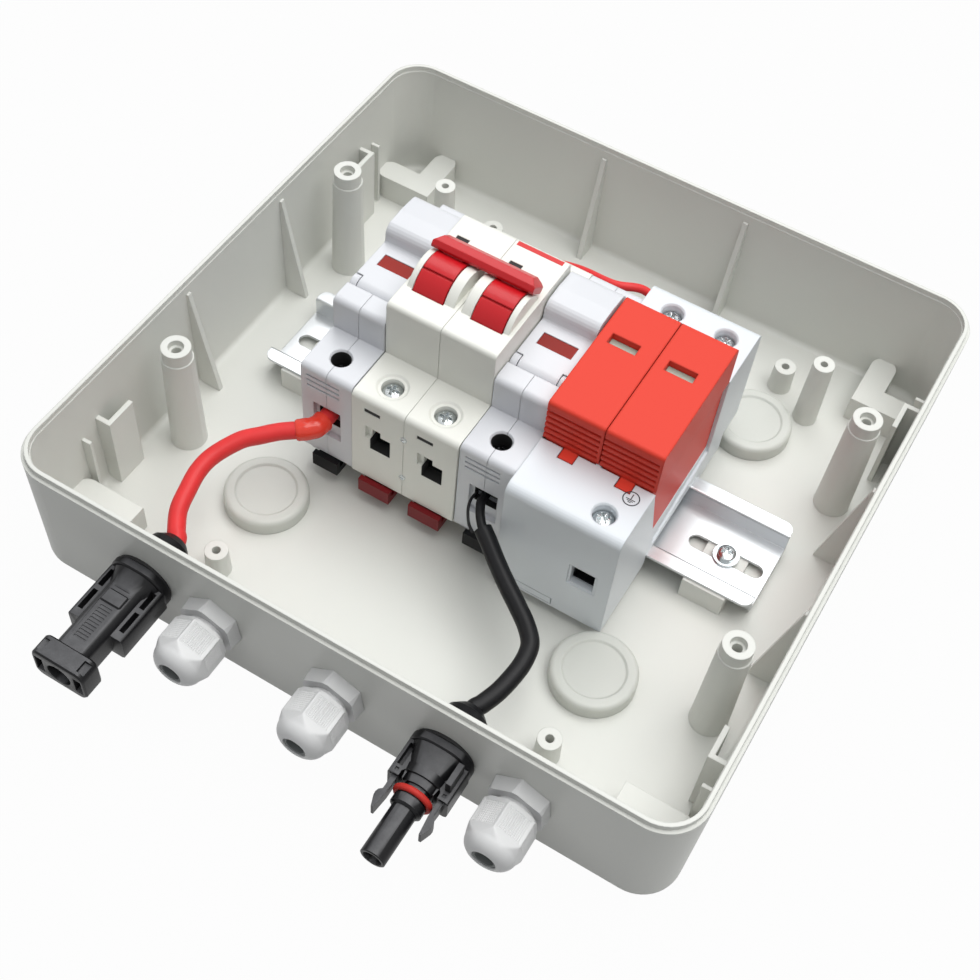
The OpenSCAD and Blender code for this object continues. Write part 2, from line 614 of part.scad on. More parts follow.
module fuse_cover_profile() {
    n = fuse_nose_y;
    b = fuse_bump_z;
    difference() {
        polygon(concat([[fuse_pivot[0] - 1, fuse_side_top_z + move_gap], [fuse_pivot[0] - 1, fuse_nose_z], [4.2, fuse_nose_z],
            [4.7, fuse_nose_z + 0.4]], arc([8.2, b - 3.6], 3.4, 190, 105, 5),
            [[13, b]], arc([n - 3.6, b - 4.2], 3.6, 80, 0, 5),
            [[n, fuse_deck_z + move_gap], [n - 2.2, fuse_deck_z + move_gap], [n - 2.2, fuse_side_top_z + move_gap]]));
        translate(fuse_pivot) circle(fuse_barrel_r + move_gap);
    }
}

module fuse_carrier() {
    cx = fuse_w / 2;
    px = fuse_pivot[0];
    pz = fuse_pivot[1];
    color([0.92, 0.93, 0.95]) difference() {
        union() {
            along_x(0.15, fuse_w - 0.15) fuse_cover_profile();
            along_x(fuse_wall_t + 0.1, fuse_w - fuse_wall_t - 0.1) {
                translate(fuse_pivot) circle(fuse_barrel_r);
                translate([px, pz - fuse_barrel_r]) square([5, 2 * fuse_barrel_r]);
            }
            translate([0.7, px, pz]) rotate([0, 90, 0]) cylinder(h = fuse_w - 1.4, r = fuse_stud_r);
            // saddle that holds the fuse below the cover
            block([cx - 6.1, px + 0.7, fuse_axis_z], [cx + 6.1, 4, pz - fuse_barrel_r + 0.5]);
            translate([cx, px + 0.7, fuse_axis_z]) rotate([-90, 0, 0]) cylinder(h = 3.3 - px, d = 12.2);
        }
        translate([cx, -30, fuse_axis_z]) rotate([-90, 0, 0]) cylinder(h = 60, d = fuse_d + 2 * seat_gap);
        block([cx - window_size[0] / 2, window_y - window_size[1] / 2, fuse_nose_z - 1.6],
            [cx + window_size[0] / 2, window_y + window_size[1] / 2, fuse_nose_z + 1]);
    }
}

module fuse_window() {
    cx = fuse_w / 2;
    color([0.75, 0.15, 0.08, 0.8])
        block([cx - window_size[0] / 2 + 0.05, window_y - window_size[1] / 2 + 0.05, fuse_nose_z - 1.6],
            [cx + window_size[0] / 2 - 0.05, window_y + window_size[1] / 2 - 0.05, fuse_nose_z - 0.25]);
}

// Fuse: a ceramic barrel between two end caps
module fuse_link() {
    cap = 10;
    color([0.90, 0.90, 0.86]) translate([fuse_w / 2, fuse_y0, fuse_axis_z]) rotate([-90, 0, 0]) {
        cylinder(h = cap, d = fuse_d);
        translate([0, 0, cap]) cylinder(h = fuse_l - 2 * cap, d = fuse_d - 0.5);
        translate([0, 0, fuse_l - cap]) cylinder(h = cap, d = fuse_d);
    }
}

module fuse_contacts() {
    cx = fuse_w / 2;
    inner = fuse_d / 2 + jaw_gap;
    strip_z = fuse_slot_z - 1;
    color([0.78, 0.66, 0.38]) for (s = [0, 1]) {
        y0 = s == 0 ? fuse_y0 + 0.8 : fuse_y0 + fuse_l - 8;
        block([cx - 3.4, s == 0 ? -29.6 : y0, strip_z], [cx + 3.4, s == 0 ? y0 + 6 : 29.6, strip_z + 0.8]);
        for (m = [0, 1]) translate([cx, 0, 0]) mirror([m, 0, 0]) {
            block([2.6, y0, strip_z + 0.2], [3.4, y0 + 6, fuse_slot_z + 0.5]);
            block([2.6, y0, fuse_slot_z], [inner + 0.6, y0 + 6, fuse_slot_z + 0.5]);
            block([inner, y0, fuse_slot_z], [inner + 0.6, y0 + 6, fuse_axis_z + 3.6]);
        }
    }
}

module fuse_screws() {
    color([0.72, 0.72, 0.70]) for (s = [-1, 1]) translate([fuse_w / 2, s * fuse_well[1], fuse_slot_z])
        rotate(20 * s) cross_screw(5.8, 2.6, 3.6, fuse_slot_z - fuse_cage_z - 9.5);
}

module fuse_clamps() {
    color([0.70, 0.69, 0.62]) for (s = [-1, 1]) wire_cage(fuse_w / 2, s * 31.5, fuse_cage_z, 8.8, 9.4, 7);
}

module fuse_rail_clip() {
    color([0.10, 0.10, 0.11]) rail_clip(fuse_w / 2, 9, fuse_front_y - 2, true);
}

// Breaker

module breaker_profile() {
    f = breaker_front_y;
    z = breaker_deck_z;
    n = breaker_nose_z;
    y0 = breaker_nose_y[0];
    y1 = breaker_nose_y[1];
    polygon(concat(foot_outline(-f, f, false), arc([f - 2, z - 2], 2, 0, 90), [[y1, z]],
        arc([y1 - 1.5, n - 1.5], 1.5, 0, 90), arc([y0 + 1.5, n - 1.5], 1.5, 90, 180),
        [[y0, z]], arc([2 - f, z - 2], 2, 90, 180)));
}

module breaker_pole(side) {
    x0 = side == 0 ? 0 : pole_w + pole_seam / 2;
    cx = pole_w * (side + 0.5);
    f = breaker_front_y;
    color([0.94, 0.94, 0.91]) difference() {
        union() {
            along_x(x0, x0 + pole_w - pole_seam / 2) breaker_profile();
            breaker_side(side) for (x = [[1.2, 3], [13.6, 16.8]]) along_x(x[0], x[1]) translate(toggle_axis) circle(cheek_r);
        }
        breaker_side(side) {
            along_x(toggle_x[0] - move_gap, toggle_x[1] + move_gap) translate(toggle_axis) circle(toggle_r + move_gap);
            translate([toggle_x[0] - 2.2, toggle_axis[0], toggle_axis[1]]) rotate([0, 90, 0])
                cylinder(h = toggle_x[1] - toggle_x[0] + 4.4, r = toggle_pin_r + pivot_gap);
        }
        for (m = [0, 1]) mirror([0, m, 0]) {
            translate([cx, -breaker_well_y, 20]) cylinder(h = 30, d = breaker_well_d);
            translate([cx, -breaker_well_y, breaker_deck_z - 0.6]) cylinder(h = 2, d1 = 8.6, d2 = 13);
            // wire chamber, stepped wire entry and the small slot above it
            block([cx - 4.6, -37.5, 15.4], [cx + 4.6, -28, 26.4]);
            block([cx - 2.6, -f - 1, 17], [cx + 4.4, -37, 24.6]);
            block([cx - 4.2, -f - 1, 21.6], [cx + 1, 1.4 - f, 27]);
            block([cx - 4.6, -f - 1, 33.4], [cx + 0.8, 0.9 - f, 35]);
        }
        block([cx - 6.3, 10.5, breaker_nose_z - 1.2], [cx - 2.1, 11.9, breaker_nose_z + 1]);
        clip_channel(cx, 11, -f);
    }
}

module breaker_side(side) {
    if (side == 0) children();
    else translate([breaker_w, 0, 0]) mirror([1, 0, 0]) children();
}

// Barrel with the arm that carries the tie bar, drawn at its on position
module breaker_toggle() {
    color([0.75, 0.1, 0.12]) translate([0, toggle_axis[0], toggle_axis[1]]) difference() {
        union() {
            translate([toggle_x[0], 0, 0]) rotate([0, 90, 0]) cylinder(h = toggle_x[1] - toggle_x[0], r = toggle_r);
            translate([toggle_x[0] - 1.9, 0, 0]) rotate([0, 90, 0])
                cylinder(h = toggle_x[1] - toggle_x[0] + 3.8, r = toggle_pin_r);
            rotate([-toggle_lean, 0, 0]) block([arm_x[0], -2.2, toggle_r - 1], [arm_x[1], 2.2, bar_r[0] + 2.6]);
        }
        rotate([22, 0, 0]) block([toggle_x[0] - 1, -0.35, toggle_r - 0.7], [toggle_x[1] + 1, 0.35, toggle_r + 1]);
    }
}

// Grip across both toggles: a ridged bar with bevelled ends
module breaker_tie_bar() {
    h = bar_r[1];
    b = bar_half;
    color([0.72, 0.08, 0.12]) translate([0, toggle_axis[0], toggle_axis[1]]) rotate([-toggle_lean, 0, 0]) difference() {
        intersection() {
            along_x(bar_end, breaker_w - bar_end) polygon([[-b, bar_r[0] + 0.7], [-b + 0.6, bar_r[0]], [b - 0.6, bar_r[0]],
                [b, bar_r[0] + 0.7], [b, h - 1.4], [b - 1.6, h], [-b + 2, h], [-b, h - 1.8]]);
            rotate([90, 0, 0]) translate([0, 0, -b - 1]) linear_extrude(2 * b + 2) polygon([[bar_end, bar_r[0] - 1],
                [breaker_w - bar_end, bar_r[0] - 1], [breaker_w - bar_end, h - 2.2], [breaker_w - bar_end - 2.2, h + 0.1],
                [bar_end + 2.2, h + 0.1], [bar_end, h - 2.2]]);
        }
        for (s = [0, 1]) breaker_side(s) block([arm_x[0] - seat_gap, -2.2 - seat_gap, bar_r[0] - 1],
            [arm_x[1] + seat_gap, 2.2 + seat_gap, bar_r[0] + 2.6 + seat_gap]);
    }
}

module breaker_screws() {
    color([0.80, 0.80, 0.76]) for (x = [pole_w / 2, breaker_w - pole_w / 2], s = [-1, 1])
        translate([x, s * breaker_well_y, breaker_deck_z - 3.8])
            rotate(25 + 10 * x) cross_screw(breaker_screw_d, 2.8, 3.8, breaker_deck_z - 3.8 - 25.6);
}

module breaker_clip(side) {
    color([0.7, 0.1, 0.12]) rail_clip(pole_w * (side + 0.5), 11, -breaker_front_y - 2, true);
}

module breaker_clamps() {
    color([0.70, 0.69, 0.62]) for (x = [pole_w / 2, breaker_w - pole_w / 2], s = [-1, 1])
        wire_cage(x, s * 32.6, 15.6, 8.6, 10, 7.6);
}

// Arrester

// Opening in each side wall of the bay: a sharp V seen from the side
module bay_window() {
    front = module_y[0] - bay_gap;
    rear = module_y[1] + bay_gap;
    polygon([[front, arrester_deck_z + 1], [front, arrester_deck_z - 1], [-14.5, 1.4], [-13, 1.4],
        [rear, 7], [rear, arrester_deck_z + 1]]);
}

module arrester_base() {
    f = arrester_y[0];
    r = arrester_y[1];
    z = arrester_deck_z;
    color([0.90, 0.92, 0.95]) difference() {
        along_x(0, arrester_w) polygon(concat(foot_outline(f, r, true),
            arc([r - 3, z - 3], 3, 0, 90), arc([f + 3, z - 3], 3, 90, 180)));
        // bay for the plug-in modules, with a slot for each pair of blades
        for (s = [0, 1]) arrester_side(s) {
            block([arrester_wall_t, module_y[0] - bay_gap, bay_z], [arrester_w / 2 - arrester_wall_t, module_y[1] + bay_gap, z + 1]);
            for (y = arrester_blade_y) block([arrester_w / 4 - 2.4, y - 5.6, 2.6], [arrester_w / 4 + 2.4, y + 5.6, bay_z + 1]);
        }
        along_x(-1, arrester_wall_t + 0.1) bay_window();
        along_x(arrester_w - arrester_wall_t - 0.1, arrester_w + 1) bay_window();
        for (w = arrester_wells) {
            translate([w[0], w[1], 20]) cylinder(h = 40, d = arrester_well_d);
            translate([w[0], w[1], z - 0.6]) cylinder(h = 2, d1 = arrester_well_d, d2 = arrester_well_d + 3);
            front = w[1] < 0;
            block([w[0] - 4.6, front ? -43.4 : 33.4, 9.6], [w[0] + 4.6, front ? -33.4 : 42.6, 21.4]);
            block([w[0] - 3.7, front ? f - 1 : 42, 12.2], [w[0] + 3.7, front ? -43 : r + 1, 20.2]);
            block([w[0] - 4.5, front ? f - 1 : r - 0.4, 11.4], [w[0] + 4.5, front ? f + 0.4 : r + 1, 21]);
        }
        for (s = [0, 1]) arrester_side(s) block([latch_x - latch_w / 2 - 0.25, latch_y - 0.3, z - 2],
            [latch_x + latch_w / 2 + 0.25, module_y[0], z + 1]);
        clip_channel(arrester_clip_x, 12, f);
    }
}

module arrester_side(side) {
    if (side == 0) children();
    else translate([arrester_w / 2, 0, 0]) children();
}

// Plug-in module: wide grooved head on a narrower body, with a latch tongue
module arrester_module() {
    y0 = module_y[0];
    y1 = module_y[1];
    z = arrester_deck_z;
    t = module_top_z;
    x0 = 0.15;
    x1 = arrester_w / 2 - module_seam / 2;
    color([0.95, 0.33, 0.27]) difference() {
        union() {
            along_x(x0, x1) polygon(concat([[y0, z + head_gap], [y1, z + head_gap]],
                arc([y1 - 2, t - 2], 2, 0, 90), arc([y0 + 1.2, t - 1.2], 1.2, 90, 180)));
            block([bay_wall, y0 + 0.2, bay_z + bay_gap], [arrester_w / 2 - bay_wall, y1, z + 1]);
            block([latch_x - latch_w / 2, latch_y, z - 1.7], [latch_x + latch_w / 2, y0 + 1, z - 0.1]);
        }
        for (i = [0:4]) block([x0 - 1, y0 - 1, z + 2 + 2.4 * i], [x1 - 0.9, y0 + 0.9, z + 3 + 2.4 * i]);
        block([x0 - 1, y0 + 6, z + 3], [x0 + 0.25, y1 - 6, t - 4]);
        translate([arrester_w / 4 + flag_offset[0], flag_offset[1], t - 3])
            linear_extrude(4) square(flag_size, center = true);
        for (y = arrester_blade_y) block([arrester_w / 4 - 0.6, y - 4.1, bay_z], [arrester_w / 4 + 0.6, y + 4.1, bay_z + 6]);
    }
}

module arrester_flag() {
    color([0.62, 0.66, 0.60]) translate([arrester_w / 4 + flag_offset[0], flag_offset[1], module_top_z - 3])
        linear_extrude(0.8) square(flag_size - [0.2, 0.2], center = true);
}

module arrester_blades() {
    color([0.82, 0.80, 0.72]) for (y = arrester_blade_y)
        block([arrester_w / 4 - 0.5, y - 4, 3.2], [arrester_w / 4 + 0.5, y + 4, bay_z + 6]);
}

// Fork of two leaves on each side of a blade
module arrester_contacts() {
    color([0.78, 0.66, 0.38]) for (s = [0, 1], y = arrester_blade_y) arrester_side(s)
        translate([arrester_w / 4, y + 4.5, 2.6]) rotate([90, 0, 0]) linear_extrude(9) difference() {
            translate([-2.2, 0]) square([4.4, 6]);
            translate([-0.8, 0.4]) square([1.6, 6]);
        }
}

module arrester_screws() {
    color([0.78, 0.80, 0.82]) for (w = arrester_wells) translate([w[0], w[1], arrester_deck_z - 4.4])
        rotate(15 + w[0]) cross_screw(6.2, 2.8, 4, arrester_deck_z - 4.4 - 20.4);
}

module arrester_clamps() {
    color([0.70, 0.69, 0.62]) for (w = arrester_wells)
        wire_cage(w[0], w[1] < 0 ? w[1] + 0.5 : w[1], 9.9, 8.8, 10.4, 8);
}

module arrester_clip() {
    color([0.90, 0.92, 0.95]) rail_clip(arrester_clip_x, 12, arrester_y[0], false);
}

// Panel connectors, drawn in place on the front wall

module connector_thread(x) {
    rod_y(x, entry_z, front_inner_y + nut_t + 2, front_inner_y - front_y + nut_t + 3 + gasket_t, connector_thread_d);
}

// Round flange that runs into a flat-sided shell, with a raised hood over its root
module connector_shell(x, y, len, w) {
    translate([x, y, entry_z]) rotate([90, 0, 0]) {
        linear_extrude(2.4) intersection() {
            circle(d = 19);
            square([19, 16], center = true);
        }
        linear_extrude(len) intersection() {
            square([w, 11.6], center = true);
            circle(d = w + 2.4);
        }
        intersection() {
            cylinder(h = 8.4, d1 = 18, d2 = 13);
            translate([0, 0, 4]) cube([12, 16, 9], center = true);
        }
    }
}

module plug_body() {
    y = front_y - gasket_t;
    len = 13;
    root = y - len;
    color([0.09, 0.09, 0.10]) difference() {
        union() {
            connector_thread(plug_x);
            connector_shell(plug_x, y, len, 18);
            rod_y(plug_x, entry_z, root + 1, 22.4, plug_tube_d);
            rod_y(plug_x, entry_z, root + 1, 4.6, 8);
            rod_y(plug_x, entry_z, root - 3.4, 2.4, plug_collar_d);
            rod_y(plug_x, entry_z, root - 5.7, 0.7, plug_collar_d, plug_tube_d + 0.6);
            for (m = [0, 1]) translate([plug_x, 0, entry_z - 2.2]) mirror([m, 0, 0]) linear_extrude(4.4)
                polygon([[6.3, root + 2], [8, root + 2], [7.6, root - 4.6], [8.5, root - 5.4], [8.8, root - 7.2],
                    [7.6, root - 10.4], [6.9, root - 10.4], [6.3, root - 5]]);
        }
        // long slots in the shoulders, open to the top
        for (s = [-1, 1]) translate([plug_x + s * 7.1, 0, entry_z])
            block([-0.8, y - len + 2.6, 1], [0.8, y - 3.4, 7]);
        rod_y(plug_x, entry_z, y - len - 8, 20, 4.6);
        rod_y(plug_x, entry_z, front_inner_y + nut_t + 3, 9, lead_d + 2 * seat_gap);
        rod_y(plug_x, entry_z, front_inner_y, 40, 3.4);
    }
}

module plug_contact() {
    y = front_y - gasket_t;
    color([0.80, 0.80, 0.78]) difference() {
        union() {
            rod_y(plug_x, entry_z, y - 10, 12, 3.2);
            rod_y(plug_x, entry_z, y - 21.4, 10, 4.2);
        }
        rod_y(plug_x, entry_z, y - 21.6, 11, 3.1);
    }
}

module plug_seal_ring() {
    color([0.75, 0.10, 0.08]) translate([plug_x, front_y - gasket_t - 15.2, entry_z]) rotate([90, 0, 0])
        rotate_extrude() translate([5, 0]) circle(r = 0.95, $fn = 24);
}

module socket_body() {
    y = front_y - gasket_t;
    wide = 20.5;
    tee = 29.5;
    end = 36;
    color([0.09, 0.09, 0.10]) difference() {
        union() {
            connector_thread(socket_x);
            connector_shell(socket_x, y, wide, 18);
            translate([socket_x, y, entry_z]) rotate([90, 0, 0]) linear_extrude(end - 2) square([10.8, 11.4], center = true);
            translate([socket_x, y - tee, entry_z]) rotate([90, 0, 0]) linear_extrude(end - tee)
                intersection() {
                    square([17.6, 12], center = true);
                    circle(d = 20);
                }
        }
        for (s = [-1, 1]) {
            block([socket_x + s * 6.9 - 0.8, y - 18, entry_z - 8], [socket_x + s * 6.9 + 0.8, y - 11, entry_z + 8]);
            block([socket_x + s * 6.9 - 0.8, y - 9.4, entry_z - 8], [socket_x + s * 6.9 + 0.8, y - 3.6, entry_z + 8]);
            block([socket_x + s * 6.5 - 1.2, y - end - 1, entry_z - 3.2], [socket_x + s * 6.5 + 1.2, y - tee - 1, entry_z + 3.2]);
        }
        rod_y(socket_x, entry_z, y - 18, 30, plug_tube_d + 0.4);
        rod_y(socket_x, entry_z, front_inner_y + nut_t + 3, 9, lead_d + 2 * seat_gap);
        rod_y(socket_x, entry_z, front_inner_y, 40, 4.4);
    }
}

module socket_contact() {
    y = front_y - gasket_t;
    color([0.80, 0.80, 0.78]) {
        rod_y(socket_x, entry_z, y - 8, 10.2, 4.2);
        rod_y(socket_x, entry_z, y - 18, 12, socket_pin_d);
        rod_y(socket_x, entry_z, y - 29.9, 1.2, socket_pin_d, 1.6);
    }
}

// Nut inside the wall, closed by a dome around the lead
module connector_nuts() {
    back = front_inner_y + nut_t + 7.2;
    color([0.08, 0.08, 0.09]) for (x = [socket_x, plug_x]) difference() {
        union() {
            rod_y(x, entry_z, front_inner_y + 1.4, 1.4, 19);
            translate([x, front_inner_y + nut_t, entry_z]) rotate([90, 0, 0]) cylinder(h = nut_t - 1, d = 17, $fn = 6);
            rod_y(x, entry_z, back - 4.8, 3.4, 14.4);
            rod_y(x, entry_z, back - 2.4, 2.6, 12.4, 14.4);
            rod_y(x, entry_z, back - 0.9, 1.6, 9.4, 12.4);
            rod_y(x, entry_z, back, 1, 7.4, 9.4);
        }
        rod_y(x, entry_z, front_inner_y + nut_t + 2.1, nut_t + 4, connector_thread_d + 2 * seat_gap);
        rod_y(x, entry_z, back + 1, 12, lead_d + 2 * seat_gap);
    }
}

module connector_gaskets() {
    color([0.05, 0.05, 0.05]) for (x = [socket_x, plug_x]) difference() {
        rod_y(x, entry_z, front_y, gasket_t, 18);
        rod_y(x, entry_z, front_y + 1, gasket_t + 2, connector_thread_d + 2 * seat_gap);
    }
}

// Cable glands

module gland_bodies() {
    color([0.90, 0.90, 0.89]) for (x = gland_x) difference() {
        union() {
            rod_y(x, entry_z, front_inner_y + nut_t + 2, front_inner_y - front_y + nut_t + 3, gland_thread_d);
            intersection() {
                gland_hexagon(x, front_y, 4.4, gland_hex);
                rod_y(x, entry_z, front_y, 4.4, gland_hex + 2.4, gland_hex + 1.6);
            }
            rod_y(x, entry_z, front_y - 4, 6, gland_thread_d - 1);
        }
        rod_y(x, entry_z, front_inner_y + nut_t + 3, 40, 9.4);
    }
}

module gland_hexagon(x, y, len, across) {
    translate([x, y, entry_z]) rotate([90, gland_turn, 0]) cylinder(h = len, d = across / cos(30), $fn = 6);
}

// Cap nut: a hexagon that runs out in a dome
module gland_caps() {
    y = front_y - cap_root;
    r = gland_cap_hex / 2;
    color([0.92, 0.92, 0.91]) for (x = gland_x) difference() {
        intersection() {
            translate([x, y, entry_z]) rotate([90, 0, 0]) rotate_extrude() polygon(concat([[0, 0], [r + 0.5, 0],
                [r + 1.25, 0.8], [r + 1.25, 8.2], [r + 0.9, 9]], arc([r - 4.3, 10.2], 4.4, 8, 78, 8), [[r - 3.9, 14.6], [0, 14.6]]));
            gland_hexagon(x, y + 1, 18, gland_cap_hex);
        }
        rod_y(x, entry_z, y + 1, 9, gland_thread_d - 0.8);
        rod_y(x, entry_z, y - 7.9, 3.2, gland_thread_d - 0.8, 7.2);
        rod_y(x, entry_z, y - 10, 9, 7.2);
    }
}

module gland_seals() {
    color([0.35, 0.36, 0.36]) for (x = gland_x) difference() {
        union() {
            rod_y(x, entry_z, front_y - 4, 9, 9.2);
            rod_y(x, entry_z, front_y - 12.4, 1.6, 10.2);
            rod_y(x, entry_z, front_y - 13.9, 3.2, 10.2, 7);
            rod_y(x, entry_z, front_y - 17, 3.2, 7);
        }
        rod_y(x, entry_z, front_y, 30, gland_bore);
    }
}

module gland_nuts() {
    color([0.88, 0.88, 0.87]) for (x = gland_x) difference() {
        gland_hexagon(x, front_inner_y + nut_t, nut_t, gland_hex);
        rod_y(x, entry_z, front_inner_y + nut_t + 1, nut_t + 3, gland_thread_d + 2 * seat_gap);
    }
}

// Leads: a round tube swept along a smooth curve through the route's points

function unit(v) = v / norm(v);
function spline(p, i, t) = let (n = len(p) - 1, a = p[max(i - 1, 0)], b = p[i], c = p[i + 1], d = p[min(i + 2, n)])
    0.5 * (2 * b + (c - a) * t + (2 * a - 5 * b + 4 * c - d) * t * t + (3 * b - a - 3 * c + d) * t * t * t);
function route_curve(p, steps) = concat([for (i = [0:len(p) - 2], s = [0:steps - 1]) spline(p, i, s / steps)], [p[len(p) - 1]]);
function side_of(t) = unit(cross(t, abs(t[2]) > 0.9 ? [1, 0, 0] : [0, 0, 1]));

module lead(route, d, steps = 1, sides = 8) {
    c = route_curve(route, steps);
    n = len(c);
    pts = [for (i = [0:n - 1]) let (t = unit(c[min(i + 1, n - 1)] - c[max(i - 1, 0)]), u = side_of(t), v = cross(t, u))
        for (k = [0:sides - 1]) c[i] + d / 2 * (cos(360 * k / sides) * u + sin(360 * k / sides) * v)];
    polyhedron(pts, concat([[for (k = [0:sides - 1]) k]],
        [for (i = [0:n - 2], k = [0:sides - 1], h = [0, 1]) let (a = i * sides, b = a + sides, m = (k + 1) % sides)
            h == 0 ? [a + k, b + k, b + m] : [a + k, b + m, a + m]],
        [[for (k = [sides - 1:-1:0]) (n - 1) * sides + k]]));
}

module lead_positive() {
    color([0.8, 0.12, 0.12]) lead(positive_route, lead_d, 2);
}

// Black lead with its bared core
module lead_negative() {
    color([0.08, 0.08, 0.08]) union() {
        lead(negative_route, lead_d, 2);
        lead(core_route, core_d, 2);
    }
}

// Short tube over the end of the red lead
module sleeve_positive() {
    last = len(positive_route) - 1;
    color([0.85, 0.1, 0.08]) difference() {
        lead([for (i = [last - 3:last - 1]) positive_route[i]], lead_d + 1.4, 2);
        lead([for (i = [last - 5:last]) positive_route[i]], lead_d + 2 * seat_gap, 2);
    }
}

// Peeled strip of the black jacket
module sleeve_negative() {
    color([0.05, 0.05, 0.05]) lead(peel_route, 0.9, 2);
}

module jumpers(routes, tint) {
    color(tint) for (r = routes) lead(r, jumper_d, 2);
}

module on_rail(x) {
    translate([x, rail_y, rail_z]) children();
}

enclosure_base();
hole_plugs();
din_rail();
rail_screws();
rail_washers();
on_rail(fuse_a_x) fuse_case_half(0);  // fuse_a_case_left
on_rail(fuse_a_x) fuse_case_half(1);  // fuse_a_case_right
on_rail(fuse_a_x) fuse_carrier();  // fuse_a_carrier
on_rail(fuse_a_x) fuse_window();  // fuse_a_window
on_rail(fuse_a_x) fuse_link();  // fuse_a_link
on_rail(fuse_a_x) fuse_contacts();  // fuse_a_contacts
on_rail(fuse_a_x) fuse_screws();  // fuse_a_screws
on_rail(fuse_a_x) fuse_clamps();  // fuse_a_clamps
on_rail(fuse_a_x) fuse_rail_clip();  // fuse_a_rail_clip
on_rail(fuse_b_x) fuse_case_half(0);  // fuse_b_case_left
on_rail(fuse_b_x) fuse_case_half(1);  // fuse_b_case_right
on_rail(fuse_b_x) fuse_carrier();  // fuse_b_carrier
on_rail(fuse_b_x) fuse_window();  // fuse_b_window
on_rail(fuse_b_x) fuse_link();  // fuse_b_link
on_rail(fuse_b_x) fuse_contacts();  // fuse_b_contacts
on_rail(fuse_b_x) fuse_screws();  // fuse_b_screws
on_rail(fuse_b_x) fuse_clamps();  // fuse_b_clamps
on_rail(fuse_b_x) fuse_rail_clip();  // fuse_b_rail_clip
on_rail(breaker_x) breaker_pole(0);  // breaker_pole_left
on_rail(breaker_x) breaker_pole(1);  // breaker_pole_right
on_rail(breaker_x) breaker_toggle();  // breaker_toggle_left
on_rail(breaker_x) breaker_side(1) breaker_toggle();  // breaker_toggle_right
on_rail(breaker_x) breaker_tie_bar();
on_rail(breaker_x) breaker_screws();
on_rail(breaker_x) breaker_clamps();
on_rail(breaker_x) breaker_clip(0);  // breaker_clip_left
on_rail(breaker_x) breaker_clip(1);  // breaker_clip_right
on_rail(arrester_x) arrester_base();
on_rail(arrester_x) arrester_module();  // arrester_module_left
on_rail(arrester_x) arrester_side(1) arrester_module();  // arrester_module_right
on_rail(arrester_x) arrester_flag();  // arrester_flag_left
on_rail(arrester_x) arrester_side(1) arrester_flag();  // arrester_flag_right
on_rail(arrester_x) arrester_blades();  // arrester_blades_left
on_rail(arrester_x) arrester_side(1) arrester_blades();  // arrester_blades_right
on_rail(arrester_x) arrester_contacts();
on_rail(arrester_x) arrester_screws();
on_rail(arrester_x) arrester_clamps();
on_rail(arrester_x) arrester_clip();
plug_body();
plug_contact();
plug_seal_ring();
socket_body();
socket_contact();
connector_nuts();
connector_gaskets();
gland_bodies();
gland_caps();
gland_seals();
gland_nuts();
lead_positive();
lead_negative();
sleeve_positive();
sleeve_negative();
jumpers(positive_jumpers, [0.8, 0.12, 0.12]);  // jumper_positive
jumpers(negative_jumpers, [0.08, 0.08, 0.08]);  // jumper_negative
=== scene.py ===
"""Dresses the solar combiner box: finishes, marks, screws, leads, connectors, glands and the stage."""
import json
import math

import bmesh
import bpy
from mathutils import Matrix, Vector


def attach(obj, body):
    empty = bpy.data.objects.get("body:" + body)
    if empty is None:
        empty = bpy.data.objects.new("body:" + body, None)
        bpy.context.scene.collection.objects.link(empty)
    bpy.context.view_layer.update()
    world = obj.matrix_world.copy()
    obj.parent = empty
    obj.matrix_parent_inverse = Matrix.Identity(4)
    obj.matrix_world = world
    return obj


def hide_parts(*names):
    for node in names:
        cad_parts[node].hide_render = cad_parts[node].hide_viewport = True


bl_info = {
    "name": "Solar combiner box",
    "version": (1, 0, 0),
    "blender": (4, 5, 0),
    "location": "3D View > Sidebar > Combiner",
    "description": "Dresses a solar combiner box that stands on its packed frame",
    "category": "Object",
}

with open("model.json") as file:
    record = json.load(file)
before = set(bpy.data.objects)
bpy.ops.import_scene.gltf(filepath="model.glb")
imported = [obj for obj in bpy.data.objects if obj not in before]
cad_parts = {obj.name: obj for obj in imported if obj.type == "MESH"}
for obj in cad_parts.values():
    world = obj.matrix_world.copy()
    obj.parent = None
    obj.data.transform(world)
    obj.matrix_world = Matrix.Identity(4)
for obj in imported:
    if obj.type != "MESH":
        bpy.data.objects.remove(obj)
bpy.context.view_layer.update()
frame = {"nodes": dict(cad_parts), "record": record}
NODES = frame["nodes"]
MM = 0.001


# Node trees

class Sock:
    """A shader socket that builds Math nodes from Python expressions."""

    def __init__(self, shader, socket):
        self.shader = shader
        self.socket = socket

    def _math(self, operation, *values):
        return self.shader.node("ShaderNodeMath", {"operation": operation}, dict(enumerate(values)))["Value"]

    def __add__(self, other):
        return self._math("ADD", self, other)

    __radd__ = __add__

    def __sub__(self, other):
        return self._math("SUBTRACT", self, other)

    def __mul__(self, other):
        return self._math("MULTIPLY", self, other)

    __rmul__ = __mul__

    def clamped(self, bottom=0.0, top=1.0):
        return self._math("MINIMUM", self._math("MAXIMUM", self, bottom), top)


class Outputs:
    """The outputs of one shader node, by name or index."""

    def __init__(self, shader, node):
        self.shader = shader
        self.node = node

    def __getitem__(self, key):
        return Sock(self.shader, self.node.outputs[key])


def add_node(tree, kind, settings=None, inputs=None):
    """Adds a node, sets its properties, and links or sets its inputs by name or index."""
    item = tree.nodes.new(kind)
    for key, value in (settings or {}).items():
        setattr(item, key, value)
    for key, value in (inputs or {}).items():
        source = value.socket if isinstance(value, Sock) else value
        if isinstance(source, bpy.types.NodeSocket):
            tree.links.new(source, item.inputs[key])
        else:
            item.inputs[key].default_value = source
    return item


